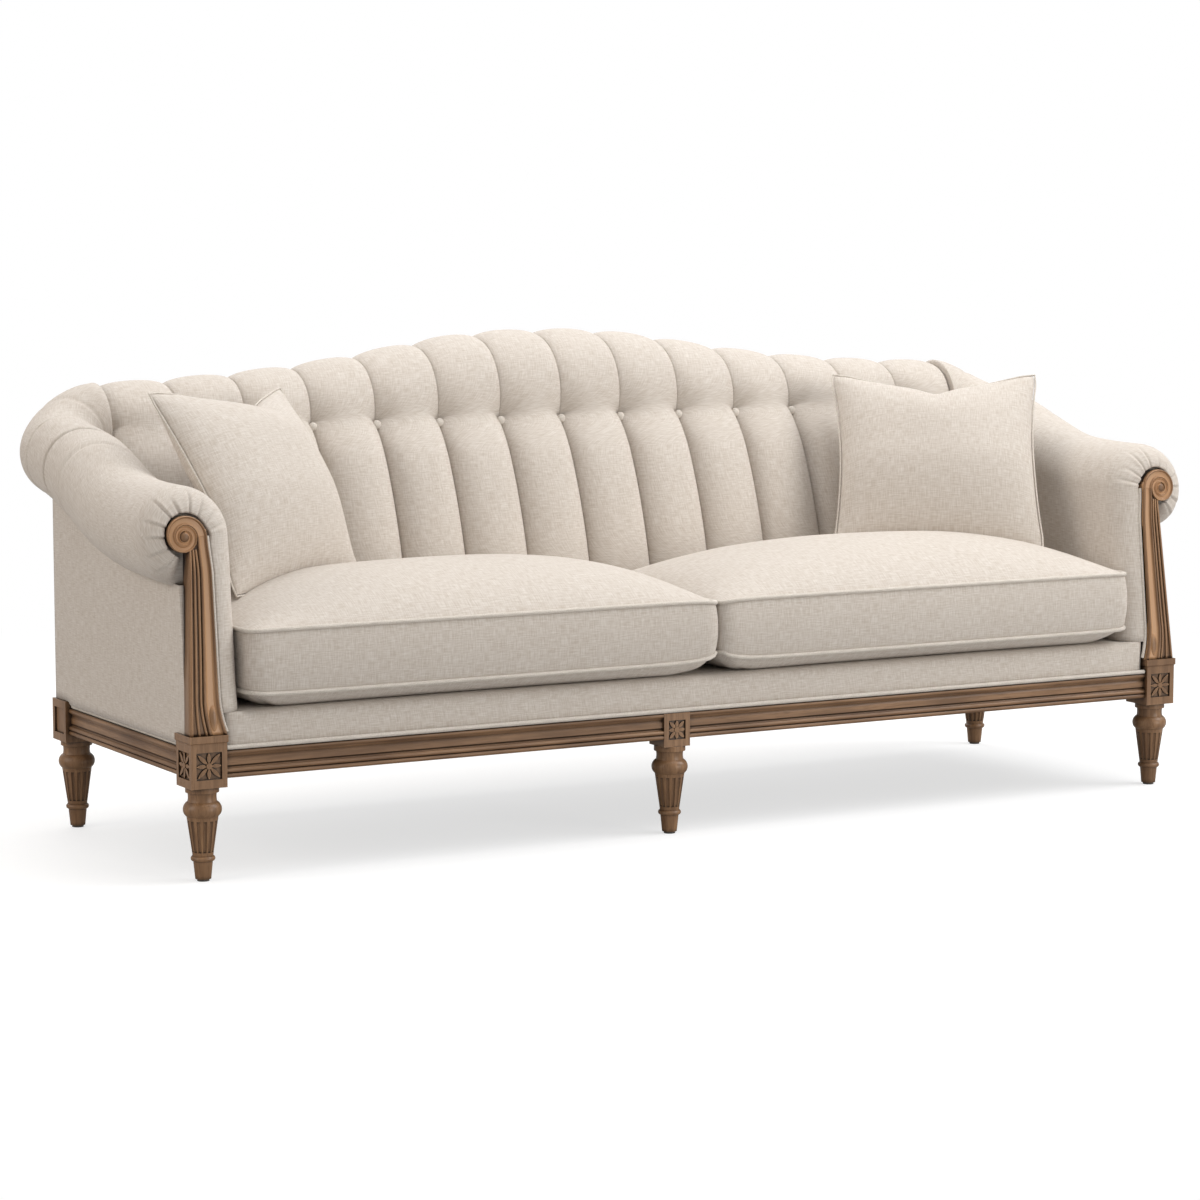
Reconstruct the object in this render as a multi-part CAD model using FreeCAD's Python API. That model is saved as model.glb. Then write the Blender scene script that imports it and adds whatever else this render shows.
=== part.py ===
"""Rolled-arm settee with a camel-shaped channel back, loose seat cushions and two loose pillows.

The frame has its origin on the floor below the middle of the settee: +X along its length,
the front toward -Y and +Z up. Sizes are in millimetres. Right-hand pieces are modelled at +X
and mirrored for the left.
"""
import FreeCAD, Part
import math
import os

V = FreeCAD.Vector

# Plan and seat heights
leg_span = 2120.0            # between the axes of the front corner legs
leg_depth = 620.0            # between the axes of the front and rear legs
centre_leg_x = -95.0         # the centre leg stands left of the middle
leg_height = 171.0
deck_height = 302.0          # top of the padded deck under the loose cushions
soft_gap = 0.3               # clearance left round soft pieces

# Turned legs
glide_diameter = 22.0
glide_height = 4.0
foot_diameter = 28.6
ankle_diameter = 35.0
ankle_height = 36.0
collar_diameter = 44.0
collar_height = 10.0
shaft_low_diameter = 37.0
shaft_top_diameter = 57.0
shaft_top_height = 117.0
bulb_diameter = 69.5
bulb_height = 27.0
neck_diameter = 53.0
top_disc_diameter = 60.5
top_disc_height = 10.0
flute_count = 14
flute_radius = 3.4
bolt_diameter = 8.0
bolt_length = 110.0
bolt_in_leg = 60.0
bolt_clearance = 0.3

# Blocks over the legs
block_width = 69.0
block_height = 80.0
cap_height = 14.0
cap_overhang = 2.0
panel_margin = 10.0
panel_depth = 4.0
petal_count = 8
petal_width = 7.0
diagonal_stretch = 1.25       # corner leaves against the upright ones
petal_height = 3.0
boss_diameter = 11.0
centre_block_width = 57.0
centre_block_height = 65.0

# Moulded show rails and the plain rails behind them
rail_height = 51.0
rail_lift = 14.5             # rail underside above the block underside
rail_thickness = 30.0
rail_setback = 6.5           # rail face behind the block face
bead_radius = 4.5
groove_depth = 2.5
seat_rail_thickness = 28.0
stretcher_width = 34.0
stretcher_height = 60.0
stretcher_x = 350.0
brace_leg = 80.0
brace_height = 45.0
screw_diameter = 5.0
screw_length = 50.0
dust_cover_thickness = 1.5

# Webbing, deck and front border
strap_width = 56.0
strap_thickness = 2.5
seat_strap_count = 13
seat_cross_strap_count = 4
deck_thickness = 12.0
border_thickness = 20.0
welt_width = 8.5

# Arms
arm_inset = 78.0             # inside face of the arms, in from the leg axis
arm_height = 703.0           # ridge of the roll at the front
arm_shoulder_drop = 19.0     # top of the rear corner below the shoulders of the back
arm_rise_lead = 180.0        # half of the climb, measured forward from the rear legs
arm_rise_power = 4.6
roll_overhang = 102.0        # outside of the roll, out from the leg axis
roll_front_radius = 90.0
roll_rear_radius = 78.0
arm_post_depth = 92.0        # from the front legs back
arm_post_cover = 3.0         # how far the facing hides the inside of the arm frame
arm_rail_height = 46.0
rear_post_lead = 24.0        # in front of the rear leg axis
corner_roll_lead = 4.0
panel_thickness = 4.0

# Arm facings with an outward volute
facing_foot_inset = 37.0     # from the leg axis, as are the next six
facing_ankle_inset = 13.0
facing_waist_inset = 11.0
facing_inset = 19.0
facing_outset = 34.0
facing_neck_outset = 18.0
scroll_outset = 19.0
facing_flare_height = 70.0
facing_thickness = 30.0
facing_rake = 6.4            # degrees, leaning back
scroll_radius = 38.0
scroll_drop = 85.0           # below the ridge of the roll
scroll_groove_radius = 2.6
scroll_eye_diameter = 17.0
scroll_eye_height = 5.0
channel_width = 15.0
channel_sink = 4.0
channel_edge = 4.0            # bead left along the inner edge
reed_count = 3
reed_radius = 1.5
reed_pitch = 4.4
facing_welt_width = 7.0

# Channel back and its roll
channel_count = 14
back_side_gap = 2.0
back_rake = 18.7             # degrees
button_lead = 18.0           # in front of the rear leg axis
button_drop = 180.0          # below the crest
button_diameter = 22.0
button_thickness = 9.0
crest_height = 940.0
crest_drop = 98.0            # fall of the crest toward the shoulders
crest_half_x = 470.0         # half of the fall
crest_power = 2.6
roll_depth = 260.0           # of the back roll, below the crest
channel_bulge = 30.0
channel_groove = 12.0
tuck_depth = 14.0
back_pad_thickness = 28.0
roll_pad_thickness = 48.0
outside_back_lap = 12.0      # how far the outside back goes up behind the roll
former_thickness = 18.0
former_head_gap = 3.0        # round head inside the stuffed roll
former_inset = 50.0          # outer formers, in from the end of the back
former_inner_x = 320.0
crest_rail_height = 46.0
crest_rail_thickness = 24.0
back_strap_count = 5

# Loose seat cushions
cushion_gap = 1.0            # to each neighbour
cushion_front_y = -32.0      # from the front leg axis
cushion_back_gap = 3.0
cushion_lift = 16.0          # lower welt above the deck
cushion_boxing = 122.0       # between the welts
cushion_crown = 95.0
cushion_belly = 14.0
cushion_face_bulge = 7.0
core_margin = 45.0
core_height = 95.0

# Loose pillows
pillow_size = 430.0
pillow_thickness = 150.0
pillow_edge = 9.0
pillow_draw = 16.0           # sides drawn in between the corners
insert_margin = 34.0
pillow_right_inset = 240.0   # from the inside of the arm to the middle
pillow_left_inset = 196.0
pillow_right_lead = 298.0    # in front of the rear leg axis
pillow_left_lead = 280.0
pillow_right_turn = -30.7    # degrees about +Z, the left one as its mirror image
pillow_left_turn = -32.6
pillow_right_lean = 40.0
pillow_left_lean = 32.0

# Derived places
corner_x = leg_span / 2
arm_inner_x = corner_x - arm_inset
roll_outer_x = corner_x + roll_overhang
facing_foot_inner_x = corner_x - facing_foot_inset
facing_inner_x = corner_x - facing_inset
facing_ankle_x = corner_x - facing_ankle_inset
facing_waist_x = corner_x - facing_waist_inset
facing_outer_x = corner_x + facing_outset
facing_neck_x = corner_x + facing_neck_outset
scroll_x = corner_x + scroll_outset
scroll_z = arm_height - scroll_drop
arm_rise = crest_height - crest_drop - arm_shoulder_drop - arm_height
arm_rise_y = leg_depth - arm_rise_lead       # behind the front leg axis
button_y = leg_depth - button_lead           # behind the front leg axis
button_z = crest_height - button_drop
roll_bottom_z = crest_height - roll_depth
outside_back_top = roll_bottom_z + outside_back_lap
seat_rail_top = deck_height - deck_thickness - 2 * strap_thickness
cushion_welt_low = deck_height + cushion_lift
cushion_welt_high = cushion_welt_low + cushion_boxing
crest_radius = (crest_height - roll_bottom_z) / 2
crest_axis_z = crest_height - crest_radius
roll_reach = math.sqrt(crest_radius ** 2 - (crest_axis_z - button_z) ** 2)
front_extent = 1.2 * cushion_face_bulge - cushion_front_y
rear_extent = button_y + roll_reach + crest_radius
y0 = (front_extent - rear_extent) / 2      # front leg axis, so that the origin is in the middle
rear_leg_y = y0 + leg_depth
block_top = leg_height + block_height + cap_height
rail_bottom = leg_height + rail_lift
rail_top = rail_bottom + rail_height
rail_front_y = y0 - block_width / 2 + rail_setback
seat_rail_front_y = rail_front_y + rail_thickness
rail_outer_x = corner_x + block_width / 2 - rail_setback
rail_rear_y = rear_leg_y + block_width / 2 - rail_setback
outside_back_y = rail_rear_y
back_half_width = arm_inner_x - back_side_gap
half_pitch = back_half_width / channel_count
channel_pitch = 2 * half_pitch
former_outer_x = back_half_width - former_inset
former_x = (-former_outer_x, -former_inner_x, former_inner_x, former_outer_x)
soft_base = deck_height + soft_gap
deck_half = facing_foot_inner_x - facing_welt_width - 2 * soft_gap
seat_rail_outer_x = rail_outer_x - rail_thickness
arm_back_x = facing_inner_x + arm_post_cover
block_inner_x = corner_x - block_width / 2
rear_post_front_y = rear_leg_y - rear_post_lead
corner_start_y = rear_post_front_y - corner_roll_lead
rear_block_top = leg_height + block_height
panel_bottom = rail_top + welt_width + soft_gap

parts = {}


def box(x_range, y_range, z_range):
    """A box between pairs of coordinates."""
    size = [pair[1] - pair[0] for pair in (x_range, y_range, z_range)]
    return Part.makeBox(*size, V(x_range[0], y_range[0], z_range[0]))


def arc(first, middle, last):
    """An arc edge through three points."""
    return Part.Arc(first, middle, last).toShape()


def line(first, last):
    """A straight edge."""
    return Part.LineSegment(first, last).toShape()


def prism(edges, direction):
    """A solid swept from the closed outline of some edges."""
    return Part.Face(Part.Wire(edges)).extrude(direction)


def polygon_prism(points, direction):
    """A solid swept from a closed polygon."""
    return Part.Face(Part.makePolygon(points + [points[0]])).extrude(direction)


def mirrored(shape):
    """The left-hand copy of a right-hand piece."""
    return shape.mirror(V(0, 0, 0), V(1, 0, 0))


def cylinder(diameter, start, direction):
    """A round bar from a start point along a vector."""
    return Part.makeCylinder(diameter / 2, direction.Length, start, direction)


def both_sides(name, shape):
    """Store a right-hand piece and its mirror image."""
    parts[name + "_right"] = shape
    parts[name + "_left"] = mirrored(shape)


# Turned and fluted legs

def leg_profile():
    """Half outline of a leg in the XZ plane, from its foot to its top disc."""
    def at(diameter, z):
        return V(diameter / 2, 0, z)
    collar_top = ankle_height + collar_height
    bulb_top = shaft_top_height + bulb_height
    disc_low = leg_height - top_disc_height
    collar_mid = at(collar_diameter, ankle_height + collar_height / 2)
    bulb_mid = at(bulb_diameter, shaft_top_height + bulb_height / 2)
    neck_mid = at(neck_diameter - 2, (bulb_top + disc_low) / 2)
    return [
        line(V(0, 0, glide_height), at(foot_diameter, glide_height)),
        line(at(foot_diameter, glide_height), at(ankle_diameter, ankle_height)),
        arc(at(ankle_diameter, ankle_height), collar_mid, at(shaft_low_diameter, collar_top)),
        line(at(shaft_low_diameter, collar_top), at(shaft_top_diameter, shaft_top_height)),
        arc(at(shaft_top_diameter, shaft_top_height), bulb_mid, at(neck_diameter, bulb_top)),
        arc(at(neck_diameter, bulb_top), neck_mid, at(neck_diameter, disc_low)),
        line(at(neck_diameter, disc_low), at(top_disc_diameter, disc_low)),
        line(at(top_disc_diameter, disc_low), at(top_disc_diameter, leg_height)),
        line(at(top_disc_diameter, leg_height), V(0, 0, leg_height)),
        line(V(0, 0, leg_height), V(0, 0, glide_height)),
    ]


def make_leg():
    """One leg on the Z axis, with flutes along its tapered shaft and a bored top."""
    body = Part.Face(Part.Wire(leg_profile())).revolve(V(0, 0, 0), V(0, 0, 1), 360)
    low = V(shaft_low_diameter / 2, 0, ankle_height + collar_height)
    top = V(shaft_top_diameter / 2, 0, shaft_top_height)
    slope = (top - low).normalize()
    outward = V(slope.z, 0, -slope.x) * (flute_radius * 0.25)
    start = low + slope * (2 * flute_radius) + outward
    end = top - slope * (2 * flute_radius) + outward
    flute = Part.makeCylinder(flute_radius, (end - start).Length, start, slope)
    flutes = []
    for index in range(flute_count):
        turned = flute.copy()
        turned.rotate(V(0, 0, 0), V(0, 0, 1), index * 360.0 / flute_count)
        flutes.append(turned)
    hole = cylinder(bolt_diameter + 2 * bolt_clearance, V(0, 0, leg_height - bolt_in_leg), V(0, 0, bolt_in_leg))
    return body.cut(Part.makeCompound(flutes)).cut(hole)


leg_places = {
    "front_left": (-corner_x, y0),
    "front_centre": (centre_leg_x, y0),
    "front_right": (corner_x, y0),
    "rear_left": (-corner_x, rear_leg_y),
    "rear_right": (corner_x, rear_leg_y),
}
leg = make_leg()
glides = []
bolts = []
for place, (x, y) in leg_places.items():
    parts["leg_" + place] = leg.translated(V(x, y, 0))
    glides.append(cylinder(glide_diameter, V(x, y, 0), V(0, 0, glide_height)))
    bolt_low = leg_height - bolt_in_leg + bolt_clearance
    bolts.append(cylinder(bolt_diameter, V(x, y, bolt_low), V(0, 0, bolt_length)))
parts["foot_glides"] = Part.makeCompound(glides)
parts["leg_bolts"] = Part.makeCompound(bolts)


# Carved blocks over the legs

def rosette(panel_size):
    """Leaf rosette standing on a panel floor at the origin, facing -Y."""
    carved = cylinder(boss_diameter, V(0, 0, 0), V(0, -panel_depth, 0))
    inner = boss_diameter / 2 - 1.5
    for index in range(petal_count):
        stretch = diagonal_stretch if index % 2 else 1.0
        reach = (panel_size / 2 - 1.0) * stretch
        middle = (inner + reach) / 2
        petal = prism(
            [
                arc(V(inner, 0, 0), V(middle, 0, petal_width / 2), V(reach, 0, 0)),
                arc(V(reach, 0, 0), V(middle, 0, -petal_width / 2), V(inner, 0, 0)),
            ],
            V(0, -petal_height, 0),
        )
        petal.rotate(V(0, 0, 0), V(0, 1, 0), index * 360.0 / petal_count)
        carved = carved.fuse(petal)
    return carved


def panelled(shape, x, y, z, size, turn, carved):
    """Sink a square panel into a block face and carve a rosette in it.

    The face is at (x, y, z) and looks along -Y turned about +Z.
    """
    half = size / 2
    tools = [box((-half, half), (0, panel_depth), (-half, half))]
    if carved:
        tools.append(rosette(size).translated(V(0, panel_depth, 0)))
    for tool in tools:
        tool.rotate(V(0, 0, 0), V(0, 0, 1), turn)
        tool.translate(V(x, y, z))
    shape = shape.cut(tools[0])
    if carved:
        shape = shape.fuse(tools[1]).removeSplitter()
    return shape


def make_block(x, y, width, height, cap, faces, carved):
    """A block over a leg, with a capping slab, sunk panels and a bolt hole."""
    half = width / 2
    block = box((x - half, x + half), (y - half, y + half), (leg_height, leg_height + height))
    if cap:
        rim = half + cap_overhang
        top = leg_height + height
        slab = box((x - rim, x + rim), (y - rim, y + rim), (top, top + cap))
        rim_edges = [edge for edge in slab.Edges if edge.BoundBox.ZMax < top + cap_height / 2]
        block = block.fuse(slab.makeChamfer(cap_overhang, rim_edges)).removeSplitter()
    panel = min(width, height) - 2 * panel_margin
    middle = leg_height + height / 2
    for turn in faces:
        angle = math.radians(turn)
        face_x = x + half * math.sin(angle)
        face_y = y - half * math.cos(angle)
        block = panelled(block, face_x, face_y, middle, panel, turn, carved)
    depth = bolt_length - bolt_in_leg + 2 * bolt_clearance
    hole = cylinder(bolt_diameter + 2 * bolt_clearance, V(x, y, leg_height), V(0, 0, depth))
    return block.cut(hole)


right_front = make_block(corner_x, y0, block_width, block_height, cap_height, (0, 90), True)
right_rear = make_block(corner_x, rear_leg_y, block_width, block_height, 0, (90, 180), False)
both_sides("block_front", right_front)
both_sides("block_rear", right_rear)
centre_block = make_block(centre_leg_x, y0, centre_block_width, centre_block_height, 0, (0,), True)
parts["block_front_centre"] = centre_block


# Moulded show rails

def rail_section():
    """Outline of a show rail: x is outward from the back of the rail and z is up."""
    step = 2 * bead_radius
    face = rail_thickness - bead_radius
    swell = bead_radius * 0.95
    valley = face - groove_depth
    low = 2 * step
    high = rail_height - 2 * step

    def at(x, z):
        return V(x, 0, z)
    return [
        line(at(0, 0), at(face, 0)),
        arc(at(face, 0), at(face + swell, bead_radius), at(face, step)),
        arc(at(face, step), at(face + swell, step + bead_radius), at(face, low)),
        line(at(face, low), at(valley, low + groove_depth)),
        line(at(valley, low + groove_depth), at(face, low + 2 * groove_depth)),
        line(at(face, low + 2 * groove_depth), at(face, high)),
        line(at(face, high), at(valley, high + bead_radius)),
        line(at(valley, high + bead_radius), at(face, rail_height - step)),
        arc(at(face, rail_height - step), at(face + swell, rail_height - bead_radius), at(face, rail_height)),
        line(at(face, rail_height), at(0, rail_height)),
        line(at(0, rail_height), at(0, 0)),
    ]


def make_rail(back, turn, length):
    """A show rail from a back point, running to the left of its outward direction turned about +Z."""
    rail = prism(rail_section(), V(0, length, 0))
    rail.rotate(V(0, 0, 0), V(0, 0, 1), turn)
    return rail.translated(back)


front_gap = centre_block_width / 2
left_length = centre_leg_x - front_gap - (block_width / 2 - corner_x)
right_length = corner_x - block_width / 2 - (centre_leg_x + front_gap)
side_length = leg_depth - block_width
rear_length = leg_span - block_width
left_start = block_width / 2 - corner_x
parts["front_rail_left"] = make_rail(V(left_start, seat_rail_front_y, rail_bottom), -90, left_length)
parts["front_rail_right"] = make_rail(
    V(centre_leg_x + front_gap, seat_rail_front_y, rail_bottom), -90, right_length
)
side_back = V(rail_outer_x - rail_thickness, y0 + block_width / 2, rail_bottom)
both_sides("side_rail", make_rail(side_back, 0, side_length))
rear_back = V(corner_x - block_width / 2, rail_rear_y - rail_thickness, rail_bottom)
parts["rear_rail"] = make_rail(rear_back, 90, rear_length)


# Arm facings with a volute

def facing_inner_points():
    """Inner edge of the right facing at y = 0: scroll, waist, ankle, bend and foot."""
    ankle_z = block_top + facing_flare_height
    waist_z = (ankle_z + scroll_z) / 2
    bend_x = (facing_foot_inner_x + 2 * facing_ankle_x) / 3
    return [
        V(facing_inner_x, 0, scroll_z),
        V(facing_waist_x, 0, waist_z),
        V(facing_ankle_x, 0, ankle_z),
        V(bend_x, 0, block_top + facing_flare_height / 2),
        V(facing_foot_inner_x, 0, block_top),
    ]


def facing_neck():
    """Point where the tapered outer edge of the right facing meets the scroll."""
    drop = math.sqrt(scroll_radius ** 2 - (facing_neck_x - scroll_x) ** 2)
    return V(facing_neck_x, 0, scroll_z - drop)


def facing_outline(z_low):
    """Right facing outline at y = 0, from below its foot up round the volute."""
    neck = facing_neck()
    neck_angle = math.atan2(neck.z - scroll_z, neck.x - scroll_x)

    def rim(angle):
        return V(scroll_x + scroll_radius * math.cos(angle), 0, scroll_z + scroll_radius * math.sin(angle))
    top, waist, ankle, bend, foot = facing_inner_points()
    corner = V(facing_outer_x, 0, block_top)
    return [
        line(V(facing_outer_x, 0, z_low), corner),
        line(corner, neck),
        arc(neck, rim(neck_angle / 2), rim(0)),
        arc(rim(0), rim(math.pi / 4), rim(math.pi / 2)),
        arc(rim(math.pi / 2), rim(3 * math.pi / 4), top),
        arc(top, waist, ankle),
        arc(ankle, bend, foot),
        line(foot, V(facing_foot_inner_x, 0, z_low)),
        line(V(facing_foot_inner_x, 0, z_low), V(facing_outer_x, 0, z_low)),
    ]


def volute_groove():
    """Spiral groove of tangent quarter turns, winding in toward the volute's eye."""
    turn_count = 6
    outer = scroll_radius - 3 * scroll_groove_radius
    inner = scroll_eye_diameter / 2 + 1.5 * scroll_groove_radius
    step = (outer - inner) / turn_count
    centre = V(scroll_x, 0, scroll_z)
    radius = outer
    angle = math.pi
    edges = []
    for index in range(turn_count):
        points = []
        for share in (0, 0.5, 1):
            a = angle - share * math.pi / 2
            points.append(centre + V(radius * math.cos(a), 0, radius * math.sin(a)))
        edges.append(arc(*points))
        angle -= math.pi / 2
        inward = V(math.cos(angle), 0, math.sin(angle))
        centre = centre + inward * step
        radius -= step
    path = Part.Wire(edges)
    ring = Part.makeCircle(scroll_groove_radius, path.Vertexes[0].Point, V(0, 0, 1))
    return path.makePipeShell([Part.Wire([ring])], True, False)


def make_facing():
    """Right arm facing: raked show-wood upright with a channel, reeds and a volute."""
    z_low = block_top - facing_thickness
    facing = prism(facing_outline(z_low), V(0, facing_thickness, 0))
    stem_low = block_top + facing_flare_height / 2
    channel_radius = (channel_width ** 2 / 4 + channel_sink ** 2) / (2 * channel_sink)
    axis_y = channel_sink - channel_radius
    inset = channel_edge + channel_width / 2
    scoop_low = V(facing_ankle_x + inset, axis_y, stem_low)
    scoop_top = V(facing_inner_x + inset, axis_y, scroll_z - scroll_radius)
    cuts = [cylinder(2 * channel_radius, scoop_low, scoop_top - scoop_low)]
    reed_top = facing_neck()
    reed_low = V(facing_outer_x, 0, block_top)
    for index in range(reed_count):
        shift = V(-(index + 1.5) * reed_pitch, 0, 0)
        cuts.append(cylinder(2 * reed_radius, reed_low + shift, reed_top - reed_low))
    facing = facing.cut(Part.makeCompound(cuts)).cut(volute_groove())
    eye = cylinder(scroll_eye_diameter, V(scroll_x, facing_thickness / 2, scroll_z), V(0, -1, 0) * (
        facing_thickness / 2 + scroll_eye_height))
    facing = facing.fuse(eye)
    facing.rotate(V(0, 0, block_top), V(1, 0, 0), -facing_rake)
    facing.translate(V(0, y0 - block_width / 2, 0))
    below = box((0, 2 * corner_x), (y0 - corner_x, y0 + corner_x), (0, block_top))
    return facing.cut(below)


def behind_facing(y_extra):
    """The space in front of the plane at the back of the facings, moved back by an extra gap."""
    reach = 2 * corner_x
    space = box((-reach, reach), (-reach, facing_thickness + y_extra), (-reach, reach))
    space.rotate(V(0, 0, 0), V(1, 0, 0), -facing_rake)
    return space.translated(V(0, y0 - block_width / 2, block_top))


def make_facing_welt():
    """Light welt that lies along the inner edge of the right facing."""
    inner = facing_inner_points()
    inner.append(V(facing_foot_inner_x, 0, block_top - facing_thickness))
    shift = V(-facing_welt_width, 0, 0)
    gap = V(-soft_gap, 0, 0)
    near = [point + gap for point in inner]
    far = [point + gap + shift for point in inner]
    edges = [
        arc(near[0], near[1], near[2]), arc(near[2], near[3], near[4]), line(near[4], near[5]),
        line(near[5], far[5]), line(far[5], far[4]), arc(far[4], far[3], far[2]),
        arc(far[2], far[1], far[0]), line(far[0], near[0]),
    ]
    front = facing_thickness - facing_welt_width
    welt = prism(edges, V(0, facing_welt_width, 0)).translated(V(0, front - soft_gap, 0))
    welt.rotate(V(0, 0, block_top), V(1, 0, 0), -facing_rake)
    welt.translate(V(0, y0 - block_width / 2, 0))
    below = box((0, 2 * corner_x), (y0 - corner_x, y0 + corner_x), (0, block_top + soft_gap))
    return welt.cut(below)


both_sides("arm_facing", make_facing())
facing_welt = make_facing_welt()
parts["facing_welts"] = Part.makeCompound([facing_welt, mirrored(facing_welt)])


# Shape of the arm roll

def ridge(y):
    """Height of the arm's ridge at a distance behind the front legs."""
    return arm_height + arm_rise / (1 + (arm_rise_y / max(y, 1.0)) ** arm_rise_power)


def roll_at(y):
    """Axis x, axis z and radius of the arm roll at a distance behind the front legs."""
    share = y / (corner_start_y - y0)
    radius = roll_front_radius + (roll_rear_radius - roll_front_radius) * share
    return roll_outer_x - radius, ridge(y) - radius, radius


def roll_underside(y):
    """Height of the lowest line of the arm roll."""
    axis_x, axis_z, radius = roll_at(y)
    return axis_z - radius


def underside_curve(x, y_low, y_high, drop):
    """A smooth edge that runs under the arm roll between two distances behind the front legs."""
    count = 7
    points = []
    for index in range(count):
        y = y_low + (y_high - y_low) * index / (count - 1)
        points.append(V(x, y0 + y, roll_underside(y) - drop))
    curve = Part.BSplineCurve()
    curve.interpolate(points)
    return curve.toShape()


def under_roll_prism(x_range, y_low, y_high, drop, height):
    """A board whose top follows the underside of the arm roll."""
    x = x_range[0]
    top = underside_curve(x, y_low, y_high, drop)
    first = top.Vertexes[0].Point
    last = top.Vertexes[-1].Point
    if height is None:
        first_low = V(x, first.y, panel_bottom)
        last_low = V(x, last.y, panel_bottom)
        low = line(first_low, last_low)
    else:
        low = underside_curve(x, y_low, y_high, drop + height)
        first_low = low.Vertexes[0].Point
        last_low = low.Vertexes[-1].Point
    edges = [top, line(last, last_low), low, line(first_low, first)]
    return prism(Part.__sortEdges__(edges), V(x_range[1] - x_range[0], 0, 0))


# Hidden frame

def make_seat_rails():
    """Plain rails behind the show rails, which carry the webbing."""
    heights = (rail_bottom, seat_rail_top)
    front = (seat_rail_front_y, seat_rail_front_y + seat_rail_thickness)
    half = centre_block_width / 2
    notch = box((centre_leg_x - half, centre_leg_x + half), (y0 - half, y0 + half), (0, block_top))
    rail = box((-block_inner_x, block_inner_x), front, heights).cut(notch)
    shoulder = box((deck_half, block_inner_x), front, (block_top - cap_height, block_top + seat_rail_top))
    parts["seat_rail_front"] = rail.cut(shoulder).cut(mirrored(shoulder))
    rear_face = rail_rear_y - rail_thickness
    parts["seat_rail_rear"] = box(
        (-block_inner_x, block_inner_x), (rear_face - seat_rail_thickness, rear_face), heights
    )
    side = (seat_rail_outer_x - seat_rail_thickness, seat_rail_outer_x)
    side_rail = box(side, (y0 + block_width / 2, rear_leg_y - block_width / 2), heights)
    both_sides("seat_rail", side_rail.cut(parts["block_front_right"]))
    stretcher_y = (front[1], rear_face - seat_rail_thickness)
    heights = (rail_bottom, rail_bottom + stretcher_height)
    stretchers = []
    for x in (-stretcher_x, stretcher_x):
        stretchers.append(box((x - stretcher_width / 2, x + stretcher_width / 2), stretcher_y, heights))
    parts["seat_stretchers"] = Part.makeCompound(stretchers)


def make_corner_braces():
    """Triangular glue blocks in the corners of the seat frame, each held to its block by a screw."""
    side_x = seat_rail_outer_x - seat_rail_thickness
    top = seat_rail_top - strap_width / 4
    screw_z = top - brace_height / 2
    braces = []
    screws = []
    front_rail_y = seat_rail_front_y + seat_rail_thickness
    rear_rail_y = rail_rear_y - rail_thickness - seat_rail_thickness
    corners = (
        ("block_front", y0 + block_width / 2, front_rail_y, y0, 1),
        ("block_rear", rear_leg_y - block_width / 2, rear_rail_y, rear_leg_y, -1),
    )
    for block, block_y, rail_y, axis_y, inward in corners:
        outline = [
            V(side_x, block_y + inward * brace_leg, top - brace_height),
            V(side_x, block_y, top - brace_height),
            V(block_inner_x, block_y, top - brace_height),
            V(block_inner_x, rail_y, top - brace_height),
            V(block_inner_x - brace_leg, rail_y, top - brace_height),
        ]
        brace = polygon_prism(outline, V(0, 0, brace_height)).cut(parts[block + "_right"])
        aim = V(corner_x, axis_y, screw_z)
        middle = (outline[0] + outline[4]) * 0.5
        start = V(middle.x, middle.y, screw_z)
        along = (aim - start).normalize()
        screw = cylinder(screw_diameter, start, along * screw_length)
        hole_diameter = screw_diameter + 2 * bolt_clearance
        hole = cylinder(hole_diameter, start - along, along * (screw_length + 1 + bolt_clearance))
        braces += [brace.cut(hole), mirrored(brace.cut(hole))]
        screws += [screw, mirrored(screw)]
        for side, tool in (("_right", hole), ("_left", mirrored(hole))):
            parts[block + side] = parts[block + side].cut(tool)
    parts["corner_braces"] = Part.makeCompound(braces)
    parts["brace_screws"] = Part.makeCompound(screws)


def make_arm_frame():
    """Posts, sloping top rails and tacking rails inside the arms."""
    post_x = (arm_back_x, rail_outer_x - bolt_clearance)
    arm_depth = corner_start_y - y0
    rail = under_roll_prism(post_x, 0, rear_post_front_y - y0, 3 * soft_gap, arm_rail_height)
    rail = rail.cut(behind_facing(0))
    rail_low = arm_rail_height + 3 * soft_gap
    above = under_roll_prism(post_x, -block_width, arm_depth, rail_low, -4 * arm_rail_height)
    post_top = arm_height - 2 * roll_front_radius
    post = box(post_x, (y0 - block_width / 2, y0 + arm_post_depth), (block_top, post_top))
    post = post.cut(behind_facing(0)).cut(above)
    post = post.cut(parts["seat_rail_right"])
    both_sides("arm_rail", rail)
    both_sides("arm_post", post)
    tack_z = (soft_base, soft_base + arm_rail_height)
    tack_x = (arm_back_x, arm_back_x + stretcher_width)
    tack = box(tack_x, (y0 + arm_post_depth, rear_post_front_y), tack_z)
    parts["arm_tacking_rails"] = Part.makeCompound([tack, mirrored(tack)])
    rear_post_z = (rear_block_top, roll_underside(arm_depth) - soft_gap)
    rear_post_x = (block_inner_x, rail_outer_x - bolt_clearance)
    both_sides("rear_post", box(rear_post_x, (rear_post_front_y, outside_back_y), rear_post_z))


make_seat_rails()
make_corner_braces()
make_arm_frame()


# Padded arms and corner rolls

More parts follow.
